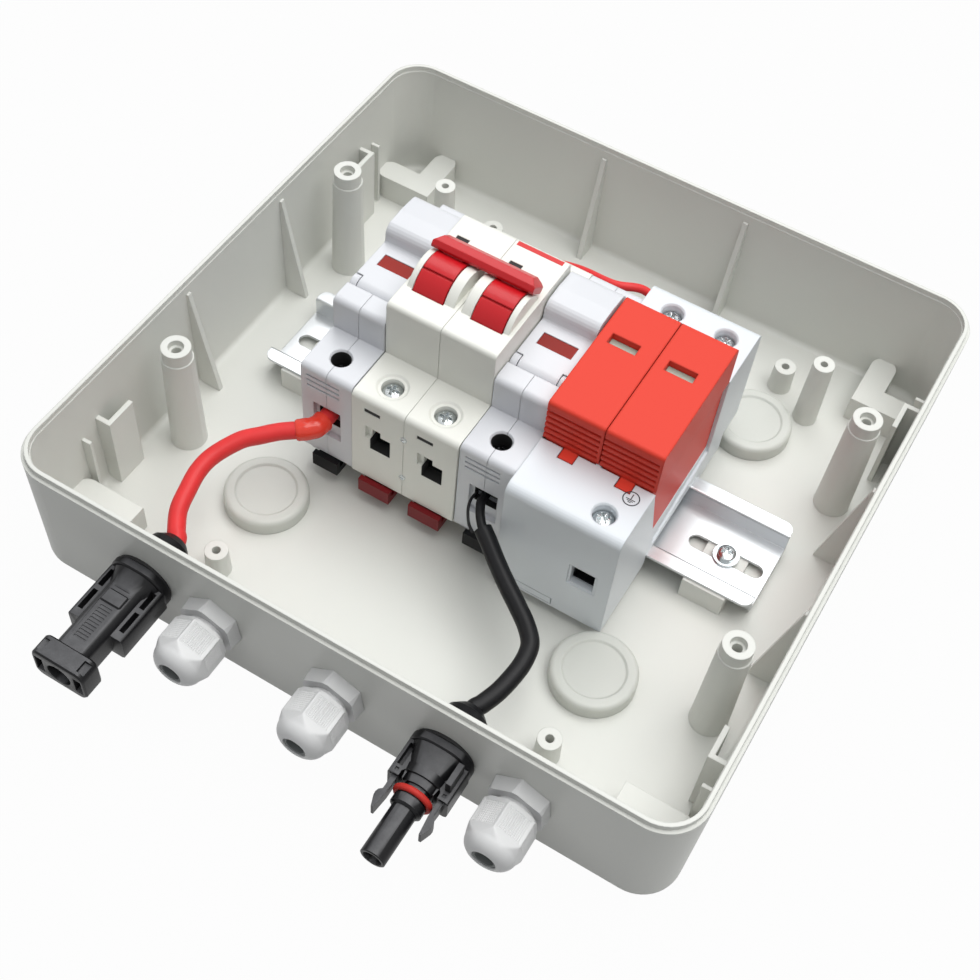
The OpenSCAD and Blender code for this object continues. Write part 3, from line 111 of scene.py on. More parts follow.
class Shader:
    """A material whose nodes are added one call at a time."""

    def __init__(self, name):
        self.material = bpy.data.materials.new(name)
        self.material.use_nodes = True
        self.tree = self.material.node_tree
        self.tree.nodes.clear()
        self.output = self.tree.nodes.new("ShaderNodeOutputMaterial")

    def node(self, kind, settings=None, inputs=None):
        return Outputs(self, add_node(self.tree, kind, settings, inputs))

    def surface(self, socket):
        self.tree.links.new(socket.socket, self.output.inputs["Surface"])

    def noise(self, scale, detail=2.0, roughness=0.5, stretch=(1, 1, 1)):
        """Soft noise: scale is the number of features in a millimetre."""
        spot = self.node("ShaderNodeTexCoord")["Object"]
        size = tuple(scale / MM * s for s in stretch)
        spot = self.node("ShaderNodeMapping", None, {"Vector": spot, "Scale": size})["Vector"]
        inputs = {"Vector": spot, "Scale": 1.0, "Detail": detail, "Roughness": roughness}
        return self.node("ShaderNodeTexNoise", None, inputs)["Fac"]

    def mix(self, factor, a, b):
        """A colour between a and b."""
        return self.node("ShaderNodeMix", {"data_type": "RGBA"}, {0: factor, 6: a, 7: b})[2]

    def rounded(self, radius):
        """Normal that rounds sharp edges over a radius in millimetres."""
        return self.node("ShaderNodeBevel", {"samples": 4}, {"Radius": radius * MM})["Normal"]

    def bump(self, height, depth, normal=None):
        """Bump of a height from 0 to 1, depth in millimetres."""
        inputs = {"Height": height, "Distance": depth * MM, "Strength": 1.0}
        if normal is not None:
            inputs["Normal"] = normal
        return self.node("ShaderNodeBump", None, inputs)["Normal"]

    def finish(self, colour, roughness, normal, metallic=0.0, **fixed):
        inputs = {"Base Color": colour, "Roughness": roughness, "Metallic": metallic, "Normal": normal}
        inputs.update({key.replace("_", " "): value for key, value in fixed.items()})
        self.surface(self.node("ShaderNodeBsdfPrincipled", None, inputs)[0])
        return self.material


def shade(colour, factor, tint=(1.0, 1.0, 1.0)):
    """The colour times a factor and a tint, with alpha."""
    return (*[min(1.0, c * factor * t) for c, t in zip(colour[:3], tint)], 1.0)


# Finishes

ZINC_BLUE = (1.01, 1.02, 1.05)
# Grey painted on the upward faces of the black connectors as a sheen of the overhead light, and the upward
# tilt from which it starts
PAINTED_SHEEN_GREY = (0.105, 0.105, 0.11, 1.0)
PAINTED_SHEEN_FROM = 0.86


def moulded(name, colour, roughness, grain, grain_scale, edge=0.35, drift=0.03, **fixed):
    """Injection moulded plastic: fine grain, slow colour drift, softened edges."""
    s = Shader(name)
    slow = s.noise(0.02, 2.0)
    fine = s.noise(grain_scale, 3.0, 0.6)
    tone = s.mix(slow, shade(colour, 1 - drift), shade(colour, 1 + drift))
    normal = s.bump(fine, grain, s.rounded(edge))
    return s.finish(tone, (roughness - 0.05 + 0.1 * fine).clamped(), normal, **fixed)


def zinc(name, colour, roughness, streak=(1, 1, 1)):
    """Bright metal: faint cloud, rolling streaks and small dull spots."""
    s = Shader(name)
    cloud = s.noise(0.12, 3.0, 0.6)
    grain = s.noise(1.6, 3.0, 0.6, streak)
    tint = s.mix(cloud, shade(colour, 0.93), shade(colour, 1.0, ZINC_BLUE))
    normal = s.bump(grain, 0.01, s.rounded(0.25))
    return s.finish(tint, (roughness - 0.06 + 0.14 * grain).clamped(), normal, 1.0)


def insulation(name, colour, roughness, **fixed):
    """Cable jacket: slightly waxy, with a fine grain and dust."""
    s = Shader(name)
    fine = s.noise(1.2, 4.0, 0.6)
    dust = s.noise(0.15, 3.0)
    tone = s.mix(dust, shade(colour, 0.9), shade(colour, 1.12))
    return s.finish(tone, (roughness + 0.12 * fine).clamped(), s.bump(fine, 0.015), **fixed)


def translucent(name, colour):
    """Milky soft plastic that lets some light through."""
    s = Shader(name)
    fine = s.noise(0.9, 3.0)
    slow = s.noise(0.05, 2.0)
    tone = s.mix(slow, shade(colour, 0.97), shade(colour, 1.03))
    return s.finish(tone, (0.38 + 0.1 * fine).clamped(), s.bump(fine, 0.02, s.rounded(0.6)),
                    Subsurface_Weight=0.35, Subsurface_Radius=(0.004, 0.004, 0.004), Subsurface_Scale=1.0)


def rubber(name, colour):
    """Dull rubber with an uneven tone."""
    s = Shader(name)
    fine = s.noise(2.2, 4.0, 0.65)
    tone = s.mix(fine, shade(colour, 0.85), shade(colour, 1.2))
    return s.finish(tone, (0.55 + 0.2 * fine).clamped(), s.bump(fine, 0.02, s.rounded(0.2)))


def black_with_painted_top_sheen(name, colour):
    """Black glass-filled plastic whose flat tops are painted grey, unevenly, as a sheen of the light from
    above.
    """
    s = Shader(name)
    fine = s.noise(2.5, 3.0, 0.6)
    cloud = s.noise(0.35, 3.0, 0.6)
    normal = s.node("ShaderNodeTexCoord")["Normal"]
    up = s.node("ShaderNodeSeparateXYZ", None, {"Vector": normal})["Z"]
    # Painted sheen: faces that point up turn grey, unevenly, as if lit by the lamp overhead
    painted_sheen = ((up - PAINTED_SHEEN_FROM) * 9.0).clamped() * (0.55 + 0.6 * cloud).clamped()
    tone = s.mix(painted_sheen, shade(colour, 1.0), PAINTED_SHEEN_GREY)
    normal = s.bump(fine, 0.02, s.rounded(0.15))
    return s.finish(tone, (0.3 + 0.12 * fine).clamped(), normal, Specular_IOR_Level=0.2)


# Sizes and colours that a user would change

def colour_property(name, description, default):
    return bpy.props.FloatVectorProperty(name=name, description=description, subtype="COLOR", size=3,
                                         min=0.0, max=1.0, default=default)


def length_property(name, description, default, low_end, high_end):
    return bpy.props.FloatProperty(name=name, description=description, subtype="DISTANCE", unit="LENGTH",
                                   default=default * MM, min=low_end * MM, max=high_end * MM)


class FinishSettings(bpy.types.PropertyGroup):
    """Colours of the plastics and of the red lead."""
    enclosure: colour_property("Enclosure", "Grey-green plastic of the box", (0.70, 0.705, 0.665))
    holder: colour_property("Fuse holders", "Cool white of the fuse holders", (0.665, 0.675, 0.705))
    breaker: colour_property("Breaker", "Warm white of the breaker", (0.80, 0.80, 0.745))
    arrester: colour_property("Arrester", "Pale blue-white of the arrester's base", (0.715, 0.75, 0.785))
    module: colour_property("Modules", "Orange-red of the plug-in modules", (0.72, 0.055, 0.033))
    toggle: colour_property("Toggle", "Deep red of the breaker's toggle", (0.55, 0.010, 0.016))
    nylon: colour_property("Glands", "White nylon of the cable glands", (0.67, 0.67, 0.67))
    cable: colour_property("Red lead", "Insulation of the positive lead", (0.70, 0.035, 0.036))
    black: colour_property("Black plastic", "Connectors and nuts", (0.009, 0.009, 0.010))


class StageSettings(bpy.types.PropertyGroup):
    """Lens and lights."""
    lens: bpy.props.FloatProperty(name="Lens", description="Focal length on a 36 mm sensor",
                                  default=55.36, min=20.0, max=120.0)
    key: bpy.props.FloatProperty(name="Key light", description="Power of the large window light",
                                 subtype="POWER", unit="POWER", default=14.0, min=0.0)
    fill: bpy.props.FloatProperty(name="Sky", description="Strength of the even light from above",
                                  default=0.88, min=0.0, max=2.0)
    horizon: bpy.props.FloatProperty(name="Horizon", description="Strength of the even light from the sides",
                                     default=0.05, min=0.0, max=2.0)


class LeadSettings(bpy.types.PropertyGroup):
    """Sizes of the leads."""
    diameter: length_property("Diameter", "Outside diameter of a lead", 5.4, 4.0, 6.0)
    sleeve: length_property("Sleeve", "Outside diameter of the tube over the red lead's end", 6.8, 5.6, 8.0)


class ScrewSettings(bpy.types.PropertyGroup):
    """Sizes of the screw heads."""
    recess: length_property("Recess depth", "Depth of the cross recess", 1.5, 0.4, 2.4)
    bar: length_property("Recess width", "Width of one arm of the cross", 0.95, 0.4, 1.6)


# Mesh tools, in millimetres until as_object makes metres of them

ROD_SIDES = 40
CORNER_STEPS = 6


def linked(name, data):
    """A new object of this data, linked to the scene."""
    piece = bpy.data.objects.new(name, data)
    bpy.context.scene.collection.objects.link(piece)
    return piece


def as_object(name, bm):
    """Turns a bmesh into an object in the scene."""
    bmesh.ops.scale(bm, vec=(MM, MM, MM), verts=bm.verts)
    mesh = bpy.data.meshes.new(name)
    bm.to_mesh(mesh)
    bm.free()
    return linked(name, mesh)


def tie_to_box(piece, slot, *nodes):
    """Makes a piece ride on the box and stand in for its nodes; the slot is not used."""
    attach(piece, "box")
    if nodes:
        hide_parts(*nodes)


def new_piece(name, bm, finish, slot, *nodes):
    """Turns a bmesh into a finished piece on the box."""
    piece = as_object(name, bm)
    piece.data.materials.append(MATERIALS[finish])
    tie_to_box(piece, slot, *nodes)
    return piece


def outward(bm):
    """Turns the faces of closed solids to the outside."""
    bmesh.ops.recalc_face_normals(bm, faces=bm.faces)
    return bm


def clean(bm, gap=0.0005):
    """Joins points that are nearer than the gap and turns the faces outward."""
    bmesh.ops.remove_doubles(bm, verts=bm.verts, dist=gap)
    return outward(bm)


def smooth(piece, angle):
    """Smooth shading with sharp edges above an angle in degrees."""
    piece.data.shade_smooth()
    piece.data.set_sharp_from_angle(angle=math.radians(angle))


def bridge(bm, rings):
    """Joins each ring of points to the next with a band of faces; a ring may be one point."""
    for a, b in zip(rings, rings[1:]):
        sides = max(len(a), len(b))
        for k in range(sides):
            m = (k + 1) % sides
            if len(a) == 1:
                bm.faces.new((a[0], b[m], b[k]))
            elif len(b) == 1:
                bm.faces.new((a[k], a[m], b[0]))
            else:
                bm.faces.new((a[k], a[m], b[m], b[k]))


def add_box(bm, a, b):
    """Closed box between two corners."""
    verts = [bm.verts.new((x, y, z)) for x in (a[0], b[0]) for y in (a[1], b[1]) for z in (a[2], b[2])]
    for face in ((0, 1, 3, 2), (4, 6, 7, 5), (0, 4, 5, 1), (2, 3, 7, 6), (0, 2, 6, 4), (1, 5, 7, 3)):
        bm.faces.new([verts[i] for i in face])


def add_lathe(bm, profile, origin, axis, sides):
    """Turned solid: profile of (radius, distance along axis); it closes at radius 0 or on itself."""
    axis = Vector(axis).normalized()
    side = axis.orthogonal().normalized()
    if abs(axis.z) < 0.5:
        side = Vector((0, 0, 1)).cross(axis).normalized()
    up = axis.cross(side)
    rings = []
    for r, t in profile:
        middle = Vector(origin) + axis * t
        if r < 1e-6:
            rings.append([bm.verts.new(middle)])
            continue
        turns = [2 * math.pi * k / sides for k in range(sides)]
        rings.append([bm.verts.new(middle + r * (math.cos(a) * side + math.sin(a) * up)) for a in turns])
    bridge(bm, rings)


def box_solid(a, b):
    bm = bmesh.new()
    add_box(bm, a, b)
    return outward(bm)


def prism_solid(outline, axis, a, b):
    """Closed prism along y or z; the outline holds the two other coordinates in order."""
    bm = bmesh.new()
    rings = [[bm.verts.new((u, t, v) if axis == "y" else (u, v, t)) for u, v in outline] for t in (a, b)]
    bm.faces.new(rings[0])
    bm.faces.new(rings[1][::-1])
    for i, (near, far) in enumerate(zip(*rings)):
        following = (i + 1) % len(outline)
        bm.faces.new((near, far, rings[1][following], rings[0][following]))
    return outward(bm)


def rod_solid(x, z, y0, y1, r0, r1=None):
    """Rod along y, or a cone where the second radius is given."""
    bm = bmesh.new()
    r1 = r0 if r1 is None else r1
    add_lathe(bm, [(0, 0), (r0, 0), (r1, y0 - y1), (0, y0 - y1)], (x, y0, z), (0, -1, 0), ROD_SIDES)
    return outward(bm)


def rounded_outline(width, height, r):
    """Rounded rectangle round the origin."""
    points = []
    for cx, cy, a0 in ((width / 2 - r, height / 2 - r, 0), (r - width / 2, height / 2 - r, 90),
                       (r - width / 2, r - height / 2, 180), (width / 2 - r, r - height / 2, 270)):
        for k in range(CORNER_STEPS + 1):
            a = math.radians(a0 + 90 * k / CORNER_STEPS)
            points.append((cx + r * math.cos(a), cy + r * math.sin(a)))
    return points


def loft_solid(x, y, z, stations):
    """Solid through rounded rectangles of (distance from the wall, width, height, corner)."""
    bm = bmesh.new()
    rings = [[bm.verts.new((x + a, y - t, z + b)) for a, b in rounded_outline(w, h, r)]
             for t, w, h, r in stations]
    bridge(bm, rings)
    bm.faces.new(rings[0])
    bm.faces.new(rings[-1])
    return outward(bm)


def evaluated_mesh(piece):
    """A new mesh of a piece with its modifiers done."""
    graph = bpy.context.evaluated_depsgraph_get()
    graph.update()
    return bpy.data.meshes.new_from_object(piece.evaluated_get(graph))


def settle(piece):
    """Applies a mesh piece's modifiers."""
    mesh = evaluated_mesh(piece)
    piece.modifiers.clear()
    old = piece.data
    piece.data = mesh
    mesh.name = old.name
    bpy.data.meshes.remove(old)


def settle_as_mesh(piece):
    """A plain mesh object in place of a mesh or curve that still has its modifiers."""
    mesh = evaluated_mesh(piece)
    name = piece.name
    data = piece.data
    bpy.data.objects.remove(piece, do_unlink=True)
    (bpy.data.curves if isinstance(data, bpy.types.Curve) else bpy.data.meshes).remove(data)
    mesh.name = name
    return linked(name, mesh)


def carve(name, solids, cutters):
    """Joins solids, cuts others out, and returns the object."""
    piece = as_object(name, solids[0])
    extra = [(as_object("%s_add_%d" % (name, i), bm), "UNION") for i, bm in enumerate(solids[1:])]
    extra += [(as_object("%s_cut_%d" % (name, i), bm), "DIFFERENCE") for i, bm in enumerate(cutters)]
    for i, (tool, operation) in enumerate(extra):
        mod = piece.modifiers.new("step_%d" % i, "BOOLEAN")
        mod.operation = operation
        mod.solver = "EXACT"
        mod.object = tool
    settle(piece)
    for tool, _ in extra:
        data = tool.data
        bpy.data.objects.remove(tool, do_unlink=True)
        bpy.data.meshes.remove(data)
    return piece


def dress_shell(piece, node):
    """Softens the edges of a carved connector, gives it its finish and ties it to the frame."""
    piece.data.materials.clear()
    piece.data.materials.append(MATERIALS["connector_black"])
    mod = piece.modifiers.new("edges", "BEVEL")
    mod.width = SHELL_EDGE * MM
    mod.segments = 2
    mod.limit_method = "ANGLE"
    mod.angle_limit = math.radians(30)
    settle(piece)
    smooth(piece, 35)
    tie_to_box(piece, "black_plastic", node)


MATERIALS = {}
FINISH_OF_NODE = {
    "breaker_clamps": "cage_zinc_painted_shade", "fuse_a_clamps": "cage_zinc_painted_shade", "fuse_b_clamps": "cage_zinc_painted_shade",
    "arrester_clamps": "cage_zinc_painted_shade", "breaker_clip_left": "slide_red", "breaker_clip_right": "slide_red",
}
# What some plastics have beside their colour and grain
PLASTIC_EXTRAS = {
    "slide_red": {"Specular_IOR_Level": 0.25},
    "window_red": {"Specular_IOR_Level": 0.15},
    "black_plastic": {"Specular_IOR_Level": 0.14},
    "toggle_red": {"Specular_IOR_Level": 0.3, "Coat_Weight": 0.1},
    "arrester_orange": {"Specular_IOR_Level": 0.18},
    "nylon_white": {"Subsurface_Weight": 0.12, "Subsurface_Radius": (0.002, 0.002, 0.002),
                    "Subsurface_Scale": 1.0},
    "sleeve_red": {"Specular_IOR_Level": 0.3, "Coat_Weight": 0.3},
}


class COMBINER_OT_finishes(bpy.types.Operator):
    """Gives every solid of the frame its finish"""
    bl_idname = "combiner.finishes"
    bl_label = "Finishes"

    def execute(self, context):
        f = context.scene.combiner_finish
        # Colour, roughness, depth and scale of the grain, edge radius, drift of the tone
        plastics = {
            "enclosure_grey": (f.enclosure, 0.46, 0.02, 2.2, 0.5, 0.012),
            # Near-black finish of pieces laid in hollows as painted shade
            "painted_shade_black": ((0.012, 0.012, 0.012), 0.7, 0.004, 2.0, 0.1, 0.2),
            "slide_red": ((0.18, 0.005, 0.008), 0.35, 0.004, 2.0, 0.35, 0.05),
            "holder_white": (f.holder, 0.34, 0.006, 4.0, 0.45, 0.01),
            "window_red": ((0.26, 0.012, 0.006), 0.3, 0.002, 1.0, 0.2, 0.6),
            "ceramic": ((0.82, 0.80, 0.74), 0.3, 0.01, 3.0),
            "black_plastic": (f.black, 0.33, 0.02, 2.5, 0.2, 0.15),
            "breaker_white": (f.breaker, 0.38, 0.008, 3.0, 0.4, 0.01),
            "toggle_red": (f.toggle, 0.3, 0.004, 2.0, 0.6, 0.05),
            "arrester_white": (f.arrester, 0.4, 0.008, 3.0, 0.5, 0.01),
            "arrester_orange": (f.module, 0.46, 0.008, 3.0, 0.9, 0.02),
            "flag_grey": ((0.33, 0.37, 0.31), 0.3, 0.004, 3.0),
            "nylon_white": (f.nylon, 0.4, 0.01, 2.5, 0.06, 0.01),
            "sleeve_red": ((0.74, 0.04, 0.02), 0.2, 0.004, 2.0, 0.1, 0.05),
            "print_red": ((0.62, 0.02, 0.02), 0.5, 0.002, 4.0, 0.1, 0.04),
            "print_black": ((0.03, 0.03, 0.035), 0.6, 0.002, 4.0, 0.1, 0.1),
        }
        for name, values in plastics.items():
            MATERIALS[name] = moulded(name, *values, **PLASTIC_EXTRAS.get(name, {}))
        MATERIALS.update({
            "plug_clear": translucent("plug_clear", (0.60, 0.61, 0.57)),
            "rail_zinc": zinc("rail_zinc", (0.66, 0.675, 0.68), 0.3, (0.05, 1, 1)),
            "steel": zinc("screw_zinc", (0.60, 0.63, 0.63), 0.18),
            # Clamp cages made near black, as painted shade inside the device openings
            "cage_zinc_painted_shade": zinc("cage_zinc_painted_shade", (0.10, 0.105, 0.11), 0.45),
            # Near-black screw metal, painted shade for screws that sit deep in wells
            "screw_dark_painted_shade": zinc("screw_dark_painted_shade", (0.10, 0.10, 0.105), 0.3),
            "brass": zinc("contact_brass", (0.80, 0.62, 0.32), 0.3),
            "connector_black": black_with_painted_top_sheen("connector_black", f.black),
            "black_rubber": rubber("black_rubber", (0.012, 0.012, 0.013)),
            "red_rubber": rubber("red_rubber", (0.50, 0.02, 0.012)),
            "seal_grey": rubber("seal_grey", (0.20, 0.21, 0.21)),
            "cable_red": insulation("cable_red", f.cable, 0.34, Specular_IOR_Level=0.28),
            "cable_black": insulation("cable_black", (0.006, 0.006, 0.007), 0.36, Specular_IOR_Level=0.22),
        })
        for entry in frame["record"]["subparts"]:
            finish = FINISH_OF_NODE.get(entry["node"], entry["material_slot"])
            for place in NODES[entry["node"]].material_slots:
                place.material = MATERIALS[finish]
        return {"FINISHED"}


# Where things sit, in millimetres, as in the part's own source

RAIL_Y = 6.0
RAIL_Z = 12.0
RAIL_SCREW_X = 73
ENTRY_Z = 25.5
FRONT_Y = -104.7925
FLANGE_Y = FRONT_Y - 0.8
BARREL_END_Y = FRONT_Y + 8.9
BARREL_R = 6.1
SOCKET_X = -60.3
PLUG_X = 38.5
GLANDS_X = (-36.0, 4.5, 62.5)
FUSES_X = (-55.8, -1.4)
BREAKER_X = -37.7
ARRESTER_X = 16.7
WIRE_A = FUSES_X[0] + 8.9
WIRE_B = FUSES_X[1] + 8.9
WIRE_Z = 32.6
BACK_Y = 46.5
BREAKER_FRONT = 40.5
NOSE_Z = 60.5
ARRESTER_DECK_Z = 41.0
CAGE_Z = 16
POLE_A = BREAKER_X + 9.0
POLE_B = BREAKER_X + 27.0
POLE_Z = 32.4
TAIL_Z = 26.6
FUSE_SCREWS_Y = (-26, 38)
BREAKER_SCREWS_Y = (-26.5, 38.5)

LEAD_START = -98.84
WALL_EXIT = -90.64
CORE_D = 2.8
PEEL_D = 0.9
JUMPER_D = 2.8
ROUTE_STEPS = 10
POSITIVE_ROUTE = [
    (SOCKET_X, LEAD_START, ENTRY_Z), (SOCKET_X, WALL_EXIT, ENTRY_Z), (-62.6, -87.6, 25.5), (-66.2, -81.8, 26),
    (-67.9, -75.2, 27), (-69, -68.2, 28), (-68.1, -61.9, 29), (-64.2, -54.2, 30.5), (-60, -50, 31.3),
    (-55.6, -45.9, 32), (-50.9, -42.4, 32.4), (-47.6, -39.2, WIRE_Z), (WIRE_A, -35.5, WIRE_Z),
    (WIRE_A, -29, WIRE_Z)]
NEGATIVE_ROUTE = [
    (PLUG_X, LEAD_START, ENTRY_Z), (PLUG_X, WALL_EXIT, ENTRY_Z), (39.8, -87.5, 25.5), (41.7, -81.4, 25.6),
    (42.8, -73.7, 26), (42.6, -68.4, 26.3), (41.4, -64.6, 26.7), (37.9, -60.8, 27.2), (33.2, -57.4, 28),
    (27.2, -53.4, 29), (21.4, -49.2, 30), (16.3, -45.2, 31), (12.6, -42.6, 32)]
CORE_ROUTE = [
    (14.9, -44.1, 31.5), (12.6, -42.6, 32), (10.2, -40, 32.7), (8.5, -37.2, 32.9), (WIRE_B, -34.5, 32.9),
    (WIRE_B, -29, WIRE_Z)]
PEEL_ROUTE = [(10.8, -45.2, 32), (8.3, -43.3, 32.2), (5.9, -39.8, 33), (4.9, -36.6, 33.4), (5.0, -33.6, 33.3)]
POSITIVE_JUMPERS = [
    [(WIRE_A, BACK_Y - 6, WIRE_Z), (WIRE_A, BACK_Y + 3, WIRE_Z), (WIRE_A + 3, BACK_Y + 8, 33),
     (POLE_A - 4.4, BACK_Y + 7, 32), (POLE_A - 1.1, BACK_Y + 3, POLE_Z), (POLE_A - 1.1, BACK_Y - 7, POLE_Z)],
    [(POLE_A + 1.8, BACK_Y - 7, POLE_Z), (POLE_A + 1.8, BACK_Y + 3, POLE_Z), (-23.9, BACK_Y + 8, 36),
     (-10, BACK_Y + 6, 43), (4, BACK_Y + 4, 46), (13, BACK_Y + 8.5, 44.5), (22, BACK_Y + 10, 37),
     (ARRESTER_X + 10, BACK_Y + 11, TAIL_Z + 3), (ARRESTER_X + 10, BACK_Y + 8, TAIL_Z),
     (ARRESTER_X + 10, BACK_Y - 4, TAIL_Z)]]
NEGATIVE_JUMPERS = [
    [(WIRE_B, BACK_Y - 6, WIRE_Z), (WIRE_B, BACK_Y + 3, WIRE_Z), (WIRE_B - 4, BACK_Y + 8, 34),
     (-4.7, BACK_Y + 8, 34), (POLE_B + 1.8, BACK_Y + 3, POLE_Z), (POLE_B + 1.8, BACK_Y - 7, POLE_Z)],
    [(POLE_B - 1.1, BACK_Y - 7, POLE_Z), (POLE_B - 1.1, BACK_Y + 3, POLE_Z), (-8.8, BACK_Y + 10, 27),
     (4, BACK_Y + 13, 23), (20, BACK_Y + 17, 21), (36, BACK_Y + 17, 22),
     (ARRESTER_X + 28, BACK_Y + 13, TAIL_Z - 1), (ARRESTER_X + 28, BACK_Y + 8, TAIL_Z),
     (ARRESTER_X + 28, BACK_Y - 4, TAIL_Z)]]


def smooth_route(route):
    """Catmull-Rom curve through the route's points."""
    points = []
    for i in range(len(route) - 1):
        a, b, c, d = (Vector(route[j]) for j in (max(i - 1, 0), i, i + 1, min(i + 2, len(route) - 1)))
        for k in range(ROUTE_STEPS):
            t = k / ROUTE_STEPS
            square = (2 * a - 5 * b + 4 * c - d) * t * t
            points.append(0.5 * (2 * b + (c - a) * t + square + (3 * b - a - 3 * c + d) * t ** 3))
    points.append(Vector(route[-1]))
    return points


# Geometry Nodes

HEAD_SIDES = 48
DOME_REACH = 1.25
TUBE_SIDES = 20
SLEEVE_SIDES = 24


class Graph:
    """A Geometry Nodes tree that is built one call at a time."""

    def __init__(self, name, sizes):
        self.tree = bpy.data.node_groups.new(name, "GeometryNodeTree")
        face = self.tree.interface
        face.new_socket("Geometry", in_out="INPUT", socket_type="NodeSocketGeometry")
        self.names = {}
        for label, kind in sizes.items():
            socket = face.new_socket(label, in_out="INPUT", socket_type="NodeSocket" + kind)
            self.names[label] = socket.identifier
        face.new_socket("Geometry", in_out="OUTPUT", socket_type="NodeSocketGeometry")
        self.start = self.tree.nodes.new("NodeGroupInput")
        self.end = self.tree.nodes.new("NodeGroupOutput")

    def node(self, kind, settings=None, inputs=None):
        return add_node(self.tree, kind, settings, inputs).outputs

    def size(self, label):
        return self.start.outputs[label]

    def maths(self, operation, a, b):
        return self.node("ShaderNodeMath", {"operation": operation}, {0: a, 1: b})[0]

    def vector(self, x, y, z):
        return self.node("ShaderNodeCombineXYZ", None, {0: x, 1: y, 2: z})[0]

    def close(self, geometry):
        solid = self.node("GeometryNodeRealizeInstances", None, {0: geometry})[0]
        finish = {"Geometry": solid, "Material": self.size("Finish")}
        solid = self.node("GeometryNodeSetMaterial", None, finish)[0]
        self.tree.links.new(solid, self.end.inputs[0])
        return self

    def apply(self, piece, values):
        """Runs the tree on a piece with these inputs and keeps the plain mesh."""
        mod = piece.modifiers.new("nodes", "NODES")
        mod.node_group = self.tree
        for label, value in values.items():
            mod[self.names[label]] = value
        return settle_as_mesh(piece)


def screw_tree():
    """Pan heads with a cross recess, one on each point, all facing up."""
    g = Graph("screw_heads", {"Radius": "Float", "Height": "Float", "Recess Depth": "Float",
                              "Recess Width": "Float", "Seed": "Int", "Finish": "Material"})
    radius = g.size("Radius")
    height = g.size("Height")
    depth = g.size("Recess Depth")
    width = g.size("Recess Width")

    def times(value, factor):
        return g.maths("MULTIPLY", value, factor)

    def moved(geometry, **how):
        inputs = {key.capitalize(): value for key, value in how.items()}
        return g.node("GeometryNodeTransform", None, {"Geometry": geometry, **inputs})[0]

    barrel = g.node("GeometryNodeMeshCylinder", None,
                    {"Vertices": HEAD_SIDES, "Radius": radius, "Depth": times(height, 2.0)})[0]
    ball = g.node("GeometryNodeMeshUVSphere", None,
                  {"Segments": HEAD_SIDES, "Rings": 24, "Radius": times(radius, DOME_REACH)})[0]
    ball = moved(ball, scale=g.vector(1.0, 1.0, g.maths("DIVIDE", height, times(radius, DOME_REACH))))
    head = g.node("GeometryNodeMeshBoolean", {"operation": "INTERSECT", "solver": "EXACT"},
                  {"Mesh 2": barrel})[0]
    g.tree.links.new(ball, head.node.inputs["Mesh 2"])
    thin = times(width, 0.36)
    cutters = []
    for across, turn, deep in ((width, 0.0, 1.0), (width, 90.0, 1.0), (thin, 45.0, 0.3), (thin, 135.0, 0.3)):
        size = g.vector(times(radius, 1.24), across, times(depth, 2.0 * deep))
        bar = g.node("GeometryNodeMeshCube", None, {"Size": size})[0]
        rotation = (0, 0, math.radians(turn))
        cutters.append(moved(bar, translation=g.vector(0.0, 0.0, height), rotation=rotation))
    pit = g.node("GeometryNodeMeshCone", None,
                 {"Vertices": 24, "Radius Top": times(radius, 0.34), "Radius Bottom": times(radius, 0.1),
                  "Depth": times(depth, 1.4)})[0]
    foot = g.maths("SUBTRACT", height, times(depth, 0.8))
    cutters.append(moved(pit, translation=g.vector(0.0, 0.0, foot)))
    for cutter in cutters:
        head = g.node("GeometryNodeMeshBoolean", {"operation": "DIFFERENCE", "solver": "EXACT"},
                      {"Mesh 1": head, "Mesh 2": cutter})[0]
    spin = g.node("FunctionNodeRandomValue", {"data_type": "FLOAT"},
                  {2: 0.0, 3: 3.1, "Seed": g.size("Seed")})[1]
    turn = g.node("ShaderNodeCombineXYZ", None, {2: spin})[0]
    return g.close(g.node("GeometryNodeInstanceOnPoints", None,
                          {"Points": g.start.outputs[0], "Instance": head, "Rotation": turn})[0])


class COMBINER_OT_screws(bpy.types.Operator):
    """Makes the heads of the terminal and rail screws"""
    bl_idname = "combiner.screws"
    bl_label = "Screws"

    def execute(self, context):
        size = context.scene.combiner_screw
        tree = screw_tree()
        arrester_spots = [(ARRESTER_X + x, y, 48.7) for x, y in ((27.4, -32.9), (10, 44), (28, 44))]
        breaker_spots = [(x, y, 47.8) for x in (POLE_A, POLE_B) for y in BREAKER_SCREWS_Y]
        # Places, radius, height and seed of each set
        sets = {
            "breaker_screws": (breaker_spots, 3.1, 2.7, 5),
            "fuse_a_screws": ([(WIRE_A, y, 44.1) for y in FUSE_SCREWS_Y], 2.9, 2.5, 2),
            "fuse_b_screws": ([(WIRE_B, y, 44.1) for y in FUSE_SCREWS_Y], 2.9, 2.5, 9),
            "arrester_screws": (arrester_spots, 3.1, 2.7, 7),
            "rail_screws": ([(x, RAIL_Y, 6.35) for x in (-RAIL_SCREW_X, RAIL_SCREW_X)], 2.9, 1.9, 4),
        }
        for node, (spots, radius, height, seed) in sets.items():
            # The fuse screws are near black as painted shade deep in their wells
            finish = "screw_dark_painted_shade" if node.startswith("fuse") else "steel"
            mesh = bpy.data.meshes.new(node + "_heads")
            mesh.from_pydata([Vector(p) * MM for p in spots], [], [])
            piece = tree.apply(linked(node + "_heads", mesh), {
                "Radius": radius * MM, "Height": height * MM, "Recess Width": size.bar, "Seed": seed,
                "Recess Depth": min(size.recess, height * 0.62 * MM), "Finish": MATERIALS[finish]})
            smooth(piece, 30)
            if len(piece.data.polygons) < 100:
                raise RuntimeError("no heads on " + node)
            tie_to_box(piece, "steel", node)
        return {"FINISHED"}


